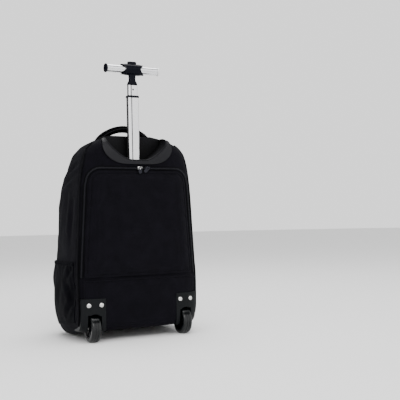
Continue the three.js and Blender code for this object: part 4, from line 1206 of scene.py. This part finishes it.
def build_housings():
    for word, side in (("left", -1), ("right", 1)):
        x = side * WHEEL_SIDE
        cheek = TYRE_WIDTH / 2 + WHEEL_ROOM
        room = WHEEL_RADIUS + WHEEL_ROOM
        housing = housing_tool(side, 0, 0)
        combine(housing, make_mesh("shell_tool", *hull_points(HOUSING_PROUD)), "INTERSECT")
        shape = rounded_outline(2 * cheek, 2 * room - WHEEL_ROOM, cheek - 1, 12)
        rings = [np.column_stack([shape[:, 0] + x, np.full(len(shape), y), shape[:, 1] + WHEEL_RADIUS])
                 for y in (WHEEL_DEPTH, WHEEL_DEPTH - BACK_DEPTH)]
        combine(housing, make_mesh("slot_tool", *loft(rings)))
        well = turned([(-cheek, room), (cheek, room)], (x, WHEEL_DEPTH, WHEEL_RADIUS), 96)
        combine(housing, make_mesh("well_tool", *well))
        bore = turned([(-cheek - 6.3, 3.3), (cheek + 6.3, 3.3)], (x, WHEEL_DEPTH, WHEEL_RADIUS), 32)
        combine(housing, make_mesh("bore_tool", *bore))
        z = HOUSING_TOP - RIVET_BELOW
        places = []
        for across in RIVET_SIDES:
            rivet_x = side * (WHEEL_SIDE + across)
            face = float(back_face(np.array(rivet_x), np.array(z), HOUSING_PROUD))
            slope = float(back_face(np.array(rivet_x + 3.0), np.array(z), HOUSING_PROUD)
                          - back_face(np.array(rivet_x - 3.0), np.array(z), HOUSING_PROUD)) / 6
            spin = np.array(Matrix.Rotation(math.atan(slope), 3, "Z"))
            places.append((spin, np.array([rivet_x, face, z])))
            room_wide = RIVET_HEAD / 2 + SEAT
            for profile in (((-20, room_wide), (RIVET_SINK, room_wide)), ((-20, 2.3), (9, 2.3))):
                points, faces = turned(profile, (0, 0, 0), 40, "Y")
                combine(housing, make_mesh("spot_tool", points @ spin.T + places[-1][1], faces))
        rounded_off(housing, 0.75, 5)
        housing.name = "wheel_arch_" + word
        dress(housing, "bag", MATERIALS["housing"], ["wheel_housing_" + word], 60)
        under = RIVET_SINK - SEAT
        half = RIVET_HEAD / 2
        profile = [(8, 1.6), (7.6, 2.0), (under, 2.0), (under, half * 0.97), (under - 0.5, half)]
        profile += [(under - 0.5 - (RIVET_HIGH - 0.5) * math.sin(a), half * math.cos(a) ** 0.75)
                    for a in np.linspace(0.15, 1.5, 9)]
        for k, (spin, place) in enumerate(places):
            points, faces = turned(profile, (0, 0, 0), 48, "Y")
            name = "rivet_" + word + "_" + str(k + 1)
            rivet = make_mesh("domed_" + name, points @ spin.T + place, faces)
            dress(rivet, "bag", MATERIALS["rivet"], [name], 40)


def wheel_ring(profile, centre, sides=96):
    """Ring about an axle, from a closed outline in rows of distance along it and radius"""
    angles = np.linspace(0, 2 * math.pi, sides, endpoint=False)
    rings = []
    for along, radius in profile:
        ring = [np.full(sides, along), radius * np.cos(angles), radius * np.sin(angles)]
        rings.append(np.column_stack(ring) + centre)
    return ring_loft(rings)


def build_wheels():
    for word, side in (("left", -1), ("right", 1)):
        centre = (side * WHEEL_SIDE, WHEEL_DEPTH, WHEEL_RADIUS)
        body = "wheel_" + word
        half = TYRE_WIDTH / 2
        rim = WHEEL_RADIUS - TYRE_THICK
        inner = rim + SEAT
        profile = [(-half, inner), (-half, inner + 4.6)]
        profile += [(-half + 4.4 - 4.4 * math.cos(a), WHEEL_RADIUS - 4.6 + 4.6 * math.sin(a))
                    for a in np.linspace(0.1, math.pi / 2, 9)]
        profile += [(-3.6, WHEEL_RADIUS), (-3.3, WHEEL_RADIUS - 0.7),
                    (-2.5, WHEEL_RADIUS - 0.7), (-2.2, WHEEL_RADIUS)]
        profile += [(-along, radius) for along, radius in reversed(profile)]
        tyre = make_mesh("rolling_" + body, *wheel_ring(profile, centre))
        dress(tyre, body, MATERIALS["tyre"], ["tyre_" + word], 50)
        bore = AXLE_ACROSS / 2 + SEAT
        disc = [(-half, bore), (-half, bore + 4), (-half + 0.8, bore + 5), (-half + 3.2, bore + 5.6),
                (-half + 3.6, bore + 8), (-half + 3.2, rim - 5), (-half + 1.0, rim - 2.6),
                (-half + 0.8, rim - 0.8), (-half + 1.4, rim)]
        disc += [(-along, radius) for along, radius in reversed(disc)]
        parts = [wheel_ring(disc, centre)]
        for face in (-1, 1):
            for k in range(6):
                turn = k * math.pi / 3
                ends = np.linspace(bore + 4.6, rim - 2.2, 6)
                line = np.column_stack([np.full(6, face * (half - 3.0)), ends * math.cos(turn),
                                        ends * math.sin(turn)]) + centre
                out = np.tile([float(face), 0.0, 0.0], (6, 1))
                parts.append(swept(line, out, SPOKE))
        core = make_mesh("spoked_" + body, *joined(parts))
        dress(core, body, MATERIALS["black"], ["wheel_core_" + word], 30)
        axle_half = half + WHEEL_ROOM + 6
        profile = [(-axle_half, 2.4), (-axle_half + 0.6, 3.0), (axle_half - 0.6, 3.0), (axle_half, 2.4)]
        pin = make_mesh("axle_pin_" + word, *turned(profile, centre, 32))
        dress(pin, "bag", MATERIALS["axle"], ["axle_" + word], 30)


def tube_outline(wide, deep, corner, groove):
    """Tube section from the groove's side round, with as many points for each size"""
    x = wide / 2
    y = deep / 2
    at = MIDDLE_TUBE["wide"] * GROOVE_PLACE
    half = GROOVE_WIDE / 2
    outline = [(-x + corner, -y), (at - half, -y), (at - half + 0.25, -y + groove),
               (at + half - 0.25, -y + groove), (at + half, -y), (x - corner, -y)]
    for side, up, start in ((1, -1, -90), (1, 1, 0), (-1, 1, 90), (-1, -1, 180)):
        for k in range(1 if start == -90 else 0, 9 if start != 180 else 8):
            angle = math.radians(start + 90 * k / 8)
            outline.append((side * (x - corner) + corner * math.cos(angle),
                            up * (y - corner) + corner * math.sin(angle)))
    return np.array(outline)


def tube_points(size, grooved):
    bottom = size["bottom"]
    top = size["top"]
    groove = GROOVE_DEEP if grooved else 0.0
    rings = []
    edge = 0.35
    wall = TUBE_WALL
    rows = [(-edge, bottom), (0, bottom + edge), (0, top - edge), (-edge, top),
            (-wall + edge, top), (-wall, top - edge), (-wall, bottom + edge), (-wall + edge, bottom)]
    for grow, z in rows:
        shape = tube_outline(size["wide"] + 2 * grow, size["deep"] + 2 * grow, size["corner"] + grow,
                             groove if grow > -wall / 2 else 0.0)
        rings.append(np.column_stack([shape[:, 0], shape[:, 1] + POLE_DEPTH, np.full(len(shape), z)]))
    return ring_loft(rings)


def build_pole():
    outer = make_mesh("pole_guide_tube", *tube_points(OUTER_TUBE, False))
    dress(outer, "bag", MATERIALS["pole"], ["outer_tube"], 30)
    middle = make_mesh("pole_lower_stage", *tube_points(MIDDLE_TUBE, True))
    dress(middle, "pole_middle", MATERIALS["pole"], ["middle_tube"], 30)
    inner = make_mesh("pole_upper_stage", *tube_points(INNER_TUBE, True))
    face = (0, POLE_DEPTH - INNER_TUBE["deep"] / 2, INNER_TUBE["top"] - LATCH_BELOW)
    hole = turned([(-8, LATCH_HOLE / 2), (5, LATCH_HOLE / 2)], face, 32, "Y")
    combine(inner, make_mesh("hole_tool", *hole))
    dress(inner, "pole_inner", MATERIALS["pole"], ["inner_tube"], 30)
    rings = []
    low = COLLAR["bottom"]
    high = COLLAR["top"]
    for inset, z in ((0.8, low), (0, low + 0.8), (0, high - 1.2), (1.2, high)):
        shape = rounded_outline(COLLAR["wide"] - 2 * inset, COLLAR["deep"] - 2 * inset,
                                COLLAR["corner"] - inset / 2)
        rings.append(np.column_stack([shape[:, 0], shape[:, 1] + POLE_DEPTH, np.full(len(shape), z)]))
    for z in (high, low):
        shape = rounded_outline(INNER_TUBE["wide"] + 2 * SLIDE_GAP, INNER_TUBE["deep"] + 2 * SLIDE_GAP,
                                INNER_TUBE["corner"] + SLIDE_GAP)
        rings.append(np.column_stack([shape[:, 0], shape[:, 1] + POLE_DEPTH, np.full(len(shape), z)]))
    collar = make_mesh("pole_stage_collar", *ring_loft(rings))
    dress(collar, "pole_middle", MATERIALS["black"], ["middle_collar"], 30)


def wing_tool():
    """Everything between the hub's ends, which are cut back in a curve round each rod"""
    up = np.linspace(-1, 1, 33)
    ends = HUB_HALF - HUB_NOTCH * (1 - up ** 2)
    past = 2 * HUB_RADIUS
    right = np.column_stack([np.concatenate([[HUB_HALF], ends, [HUB_HALF]]),
                             np.concatenate([[-past], up * HUB_TIP, [past]])])
    outline = np.concatenate([right, right[::-1] * (-1, 1)])
    rings = [np.column_stack([outline[:, 0], np.full(len(outline), POLE_DEPTH + y),
                              outline[:, 1] + GRIP_HEIGHT]) for y in (-past, past)]
    return make_mesh("wing_tool", *loft(rings))


def build_hub():
    axis = (0, POLE_DEPTH, GRIP_HEIGHT)
    barrel = [(-HUB_HALF, HUB_TIP), (-HUB_HALF + 8, HUB_TIP + 0.3), (-HUB_HALF + 12, HUB_RADIUS - 0.3),
              (-HUB_HALF + 15, HUB_RADIUS)]
    barrel += [(-along, radius) for along, radius in reversed(barrel)]
    hub = make_mesh("grip_hub_moulding", *turned(barrel, axis, 96))
    combine(hub, wing_tool(), "INTERSECT")
    rings = []
    for up, wider, deeper in NECK_ROWS:
        z = HUB_BOTTOM + up * (GRIP_HEIGHT - 6 - HUB_BOTTOM)
        shape = rounded_outline(NECK_WIDE + NECK_FLARE[0] * wider, NECK_DEEP + NECK_FLARE[1] * deeper, 3.4)
        rings.append(np.column_stack([shape[:, 0], shape[:, 1] + POLE_DEPTH, np.full(len(shape), z)]))
    combine(hub, make_mesh("neck_tool", *loft(rings)), "UNION")
    rounded_off(hub, 0.55, 5)
    well = rounded_outline(BUTTON_WIDE + 1.2, BUTTON_DEEP + 1.2, BUTTON_DEEP / 2 + 0.4, 12)
    rings = [np.column_stack([well[:, 0], well[:, 1] + POLE_DEPTH, np.full(len(well), z)])
             for z in (HUB_TOP - 9, HUB_TOP + 20)]
    combine(hub, make_mesh("well_tool", *loft(rings)))
    for side in (-1, 1):
        ends = sorted((side * (BAR_INNER - SEAT), side * 50))
        hole = turned([(ends[0], BAR_RADIUS + SEAT), (ends[1], BAR_RADIUS + SEAT)], axis, 64)
        combine(hub, make_mesh("bar_tool", *hole))
    plug = rounded_outline(20.6, 6.7, 1.5)
    rings = [np.column_stack([plug[:, 0], plug[:, 1] + POLE_DEPTH, np.full(len(plug), z)])
             for z in (HUB_BOTTOM - 8, HUB_BOTTOM + 5)]
    combine(hub, make_mesh("plug_tool", *loft(rings)), "UNION")
    dress(hub, "pole_inner", MATERIALS["black"], ["grip_hub"], 40)


def build_grip():
    axis = (0, POLE_DEPTH, GRIP_HEIGHT)
    build_hub()
    for word, side in (("left", -1), ("right", 1)):
        rows = [(BAR_INNER, BAR_RADIUS - 0.4), (BAR_INNER + 0.4, BAR_RADIUS), (BAR_OUTER - 0.4, BAR_RADIUS),
                (BAR_OUTER, BAR_RADIUS - 0.4)]
        bar = make_mesh("grip_rod_" + word, *turned([(side * a, r) for a, r in rows], axis, 96))
        dress(bar, "pole_inner", MATERIALS["bar"], ["grip_bar_" + word], 30)
        start = BAR_OUTER + SEAT
        rows = [(start, CAP_RADIUS - 0.9), (start + 0.4, CAP_RADIUS - 0.5), (start + 2.4, CAP_RADIUS),
                (start + 3.4, CAP_RADIUS - 0.3), (CAP_OUTER - 0.5, CAP_RADIUS - 1.2),
                (CAP_OUTER, CAP_RADIUS - 2.6)]
        cap = make_mesh("grip_cap_" + word, *turned([(side * a, r) for a, r in rows], axis, 96))
        if side < 0:
            dress(cap, "pole_inner", MATERIALS["black"], ["end_cap_left"], 40)
        else:
            dress(cap, "pole_inner", MATERIALS["cap"], ["end_cap_right"], 40)
    rings = []
    for down, inset in ((11, 0), (1.9, 0), (1.0, 0.4), (0.3, 1.3), (0, 2.8)):
        shape = rounded_outline(BUTTON_WIDE - 2 * inset, BUTTON_DEEP - 2 * inset,
                                BUTTON_DEEP / 2 - inset - 0.2, 12)
        rings.append(np.column_stack([shape[:, 0], shape[:, 1] + POLE_DEPTH,
                                      np.full(len(shape), HUB_TOP + BUTTON_PROUD - down)]))
    button = make_mesh("release_button", *loft(rings))
    dress(button, "button", MATERIALS["black"], ["push_button"], 50)


def number_setting(name, description, value, low=0.0, **extra):
    return bpy.props.FloatProperty(name=name, description=description, default=value, min=low, **extra)


def area_light(name, place, target, size, power, colour):
    data = bpy.data.lights.new(name, "AREA")
    data.shape = "DISK"
    data.size = size
    data.energy = power
    data.color = colour
    lamp = bpy.data.objects.new(name, data)
    bpy.context.scene.collection.objects.link(lamp)
    lamp.location = place
    lamp.rotation_mode = "QUATERNION"
    lamp.rotation_quaternion = (Vector(target) - Vector(place)).to_track_quat("-Z", "Y")
    return lamp


def build_stage(stage):
    """Floor, world, lamps, and the camera at the photograph's angle"""
    scene = bpy.context.scene
    material, tree, shader = new_material("painted_studio_floor", {"Roughness": 0.75, "IOR": 1.45})
    place = add_node(tree, "ShaderNodeTexCoord").outputs["Object"]
    cloud = add_node(tree, "ShaderNodeTexNoise", {"Scale": 3.0, "Detail": 3.0}, {"Vector": place})
    tint = add_node(tree, "ShaderNodeValToRGB", {}, {"Fac": cloud.outputs["Fac"]})
    tint.color_ramp.elements[0].color = shade(stage.floor_colour, 0.985)
    tint.color_ramp.elements[1].color = shade(stage.floor_colour, 1.0)
    tree.links.new(tint.outputs["Color"], shader.inputs["Base Color"])
    angles = np.linspace(0, 2 * math.pi, 96, endpoint=False)
    reach = stage.floor_radius
    points = [(0, 0, 0)] + [(reach * math.cos(a), reach * math.sin(a), 0) for a in angles]
    mesh = bpy.data.meshes.new("studio_floor")
    mesh.from_pydata(points, [], [(0, k + 1, (k + 1) % 96 + 1) for k in range(96)])
    mesh.materials.append(material)
    floor = bpy.data.objects.new("studio_floor", mesh)
    scene.collection.objects.link(floor)
    world = bpy.data.worlds.new("studio_world")
    scene.world = world
    world.use_nodes = True
    tree = world.node_tree
    back = tree.nodes["Background"]
    back.inputs["Color"].default_value = rgba(stage.world_colour)
    heading = add_node(tree, "ShaderNodeTexCoord").outputs["Generated"]
    towards = add_node(tree, "ShaderNodeVectorMath", {"operation": "DOT_PRODUCT", 1: LIGHT_FROM},
                       {0: heading})
    glow = add_node(tree, "ShaderNodeMapRange", {
        "interpolation_type": "SMOOTHSTEP", "From Min": -0.35, "From Max": 0.55,
        "To Min": stage.dim_strength, "To Max": stage.world_strength,
    }, {"Value": towards.outputs["Value"]})
    height = add_node(tree, "ShaderNodeSeparateXYZ", {}, {0: heading})
    gap = add_node(tree, "ShaderNodeMath", {"operation": "COMPARE", 1: DARK_BAND[0], 2: DARK_BAND[1]},
                   {0: height.outputs["Z"]})
    boxes = add_node(tree, "ShaderNodeMapRange", {"To Min": 1.0, "To Max": 0.08}, {"Value": gap.outputs[0]})
    lit = add_node(tree, "ShaderNodeMath", {"operation": "MULTIPLY"},
                   {0: glow.outputs[0], 1: boxes.outputs[0]})
    path = add_node(tree, "ShaderNodeLightPath")
    seen = add_node(tree, "ShaderNodeMix", {"data_type": "FLOAT", 3: stage.backdrop_strength},
                    {0: path.outputs["Is Camera Ray"], 2: lit.outputs[0]})
    tree.links.new(seen.outputs[0], back.inputs["Strength"])
    powers = {"key_lamp": stage.key_power, "fill_lamp": stage.fill_power, "top_lamp": stage.top_power}
    for name, place, size, colour in LAMPS:
        area_light(name, place, LAMP_TARGET, size, powers[name], colour)
    yaw, pitch, roll = (math.radians(a) for a in CAMERA_TURN)
    ahead = Vector((-math.sin(yaw), math.cos(yaw), 0))
    right = Vector((math.cos(yaw), math.sin(yaw), 0))
    up = Vector((0, 0, 1))
    ahead, up = (math.cos(pitch) * ahead - math.sin(pitch) * up,
                 math.sin(pitch) * ahead + math.cos(pitch) * up)
    right, up = (math.cos(roll) * right + math.sin(roll) * up,
                 -math.sin(roll) * right + math.cos(roll) * up)
    data = bpy.data.cameras.new("photo_camera")
    data.sensor_width = 36.0
    data.lens = stage.focal_pixels * data.sensor_width / 400
    data.clip_start = 0.05
    data.clip_end = 100.0
    camera = bpy.data.objects.new("photo_camera", data)
    scene.collection.objects.link(camera)
    turn = Matrix((right, up, -ahead)).transposed()
    camera.matrix_world = Matrix.Translation(CAMERA_PLACE) @ turn.to_4x4()
    scene.camera = camera


# Settings

def colour_setting(name, description, value):
    return bpy.props.FloatVectorProperty(name=name, description=description, default=linear(value),
                                         subtype="COLOR", size=3, min=0.0, max=1.0)


class BackpackColours(bpy.types.PropertyGroup):
    """Colours of the cloth, plastic and metal"""
    body_cloth: colour_setting("Body cloth", "Woven polyester of the body and pockets", "#08070c")
    # Darker copy of the body cloth: painted shade on the side pockets
    pouch_shade_painted_cloth: colour_setting("Pocket cloth", "Woven polyester of the side pockets", "#030306")
    panel_cloth: colour_setting("Panel cloth", "Woven polyester of the cover and lower panel", "#09080d")
    binding: colour_setting("Binding", "Binding tape and corded piping", "#0a0a0d")
    webbing: colour_setting("Webbing", "Haul handle and zip tape", "#020203")
    thread: colour_setting("Thread", "Sewing thread", "#08080b")
    zip_coil: colour_setting("Zip coil", "Nylon coil of the zip", "#121217")
    tray_plastic: colour_setting("Tray plastic", "Inside of the handle tray", "#121215")
    rim_plastic: colour_setting("Rim plastic", "Surround of the handle tray", "#121215")
    housing_plastic: colour_setting("Housing plastic", "Wheel housings", "#090b0d")
    black_plastic: colour_setting("Black plastic", "Grip hub, button, caps and wheel cores", "#05060e")
    cap_plastic: colour_setting("Cap plastic", "Light end cap of the grip", "#d8d8d8")
    tyre: colour_setting("Tyre", "Cast tyres of the wheels", "#020405")
    pole: colour_setting("Pole", "Anodised aluminium of the pole", "#d6d6d8")
    chrome: colour_setting("Chrome", "Chromed bars of the grip", "#dcdddf")
    rivet: colour_setting("Rivets", "Rivets, axles and zip sliders", "#c8c8c6")
    dark_nickel: colour_setting("Dark nickel", "Black nickelled zip tabs", "#26262b")


class BackpackSizes(bpy.types.PropertyGroup):
    """Sizes of the cloth's grain"""
    thread_spacing: bpy.props.FloatProperty(
        name="Thread spacing",
        description="Spacing of the weave, drawn coarser than the real 0.5 mm so that it shows",
        default=0.0014, min=0.0004, max=0.005, subtype="DISTANCE", unit="LENGTH", precision=4)


class BackpackStage(bpy.types.PropertyGroup):
    """Floor, light and camera"""
    floor_colour: colour_setting("Floor", "Painted floor", "#f4f4f4")
    world_colour: colour_setting("Surroundings", "Even light from all round", "#ffffff")
    floor_radius: number_setting("Floor radius", "Radius of the round floor", 14.0, 2.0,
                                 subtype="DISTANCE", unit="LENGTH")
    world_strength: number_setting("Surroundings strength", "Strength of the even light", 2.2)
    dim_strength: number_setting("Dim side strength", "Strength of the light on the dim side", 0.05)
    backdrop_strength: number_setting("Backdrop strength", "Brightness of the plain backdrop", 1.45)
    key_power: number_setting("Key lamp", "Power of the main lamp", 45.0, unit="POWER")
    fill_power: number_setting("Fill lamp", "Power of the lamp that softens shadows", 3.0, unit="POWER")
    top_power: number_setting("Top lamp", "Power of the lamp overhead", 50.0, unit="POWER")
    focal_pixels: number_setting("Focal length", "Focal length for a frame 400 pixels wide", 709.0, 100.0)


class BACKPACK_OT_stage(bpy.types.Operator):
    """Make the floor, the light and the camera"""
    bl_idname = "backpack.stage"
    bl_label = "Stage"

    def execute(self, context):
        build_stage(context.scene.backpack_stage)
        return {"FINISHED"}


class BACKPACK_OT_materials(bpy.types.Operator):
    """Make the cloth, plastic, rubber and metal"""
    bl_idname = "backpack.materials"
    bl_label = "Materials"

    def execute(self, context):
        make_materials(context.scene.backpack_colours, context.scene.backpack_sizes)
        return {"FINISHED"}


class BACKPACK_OT_body(bpy.types.Operator):
    """Sew the padded body and its corded seams"""
    bl_idname = "backpack.body"
    bl_label = "Body and piping"

    def execute(self, context):
        build_body()
        return {"FINISHED"}


class BACKPACK_OT_tray(bpy.types.Operator):
    """Mould the handle tray and its rim"""
    bl_idname = "backpack.tray"
    bl_label = "Handle tray"

    def execute(self, context):
        build_tray()
        return {"FINISHED"}


class BACKPACK_OT_cover(bpy.types.Operator):
    """Sew the padded cover of the back"""
    bl_idname = "backpack.cover"
    bl_label = "Cover"

    def execute(self, context):
        build_cover()
        return {"FINISHED"}


class BACKPACK_OT_zip(bpy.types.Operator):
    """Make the zip round the cover and its two sliders"""
    bl_idname = "backpack.zip"
    bl_label = "Zip and sliders"

    def execute(self, context):
        build_zip()
        return {"FINISHED"}


class BACKPACK_OT_lower_panel(bpy.types.Operator):
    """Sew the panel below the cover"""
    bl_idname = "backpack.lower_panel"
    bl_label = "Lower panel"

    def execute(self, context):
        build_lower_panel()
        return {"FINISHED"}


class BACKPACK_OT_pockets(bpy.types.Operator):
    """Sew the two side pockets with their gathered hems"""
    bl_idname = "backpack.pockets"
    bl_label = "Side pockets"

    def execute(self, context):
        build_pockets()
        return {"FINISHED"}


class BACKPACK_OT_haul_handle(bpy.types.Operator):
    """Sew the padded haul handle"""
    bl_idname = "backpack.haul_handle"
    bl_label = "Haul handle"

    def execute(self, context):
        build_haul_handle()
        return {"FINISHED"}


class BACKPACK_OT_housings(bpy.types.Operator):
    """Mould the wheel housings and set their rivets"""
    bl_idname = "backpack.housings"
    bl_label = "Wheel housings"

    def execute(self, context):
        build_housings()
        return {"FINISHED"}


class BACKPACK_OT_wheels(bpy.types.Operator):
    """Make the wheels and their axles"""
    bl_idname = "backpack.wheels"
    bl_label = "Wheels"

    def execute(self, context):
        build_wheels()
        return {"FINISHED"}


class BACKPACK_OT_pole(bpy.types.Operator):
    """Draw the tubes of the telescopic pole"""
    bl_idname = "backpack.pole"
    bl_label = "Pole"

    def execute(self, context):
        build_pole()
        return {"FINISHED"}


class BACKPACK_OT_grip(bpy.types.Operator):
    """Make the grip's hub, rods, caps and button"""
    bl_idname = "backpack.grip"
    bl_label = "Grip"

    def execute(self, context):
        build_grip()
        return {"FINISHED"}


STEPS = (
    BACKPACK_OT_stage, BACKPACK_OT_materials, BACKPACK_OT_body, BACKPACK_OT_tray, BACKPACK_OT_cover,
    BACKPACK_OT_zip, BACKPACK_OT_lower_panel, BACKPACK_OT_pockets, BACKPACK_OT_haul_handle,
    BACKPACK_OT_housings, BACKPACK_OT_wheels, BACKPACK_OT_pole, BACKPACK_OT_grip,
)


class BACKPACK_PT_steps(bpy.types.Panel):
    """Lists the steps that make the bag"""
    bl_idname = "BACKPACK_PT_steps"
    bl_label = "Wheeled backpack"
    bl_space_type = "VIEW_3D"
    bl_region_type = "UI"
    bl_category = "Backpack"

    def draw(self, context):
        for step in STEPS:
            self.layout.operator(step.bl_idname)


CLASSES = (BackpackColours, BackpackSizes, BackpackStage, *STEPS, BACKPACK_PT_steps)


def register():
    for made in CLASSES:
        bpy.utils.register_class(made)
    bpy.types.Scene.backpack_colours = bpy.props.PointerProperty(type=BackpackColours)
    bpy.types.Scene.backpack_sizes = bpy.props.PointerProperty(type=BackpackSizes)
    bpy.types.Scene.backpack_stage = bpy.props.PointerProperty(type=BackpackStage)


def unregister():
    del bpy.types.Scene.backpack_stage
    del bpy.types.Scene.backpack_sizes
    del bpy.types.Scene.backpack_colours
    for made in reversed(CLASSES):
        bpy.utils.unregister_class(made)


def main():
    register()
    for step in STEPS:
        group, name = step.bl_idname.split(".")
        getattr(getattr(bpy.ops, group), name)()


if __name__ == "__main__":
    main()
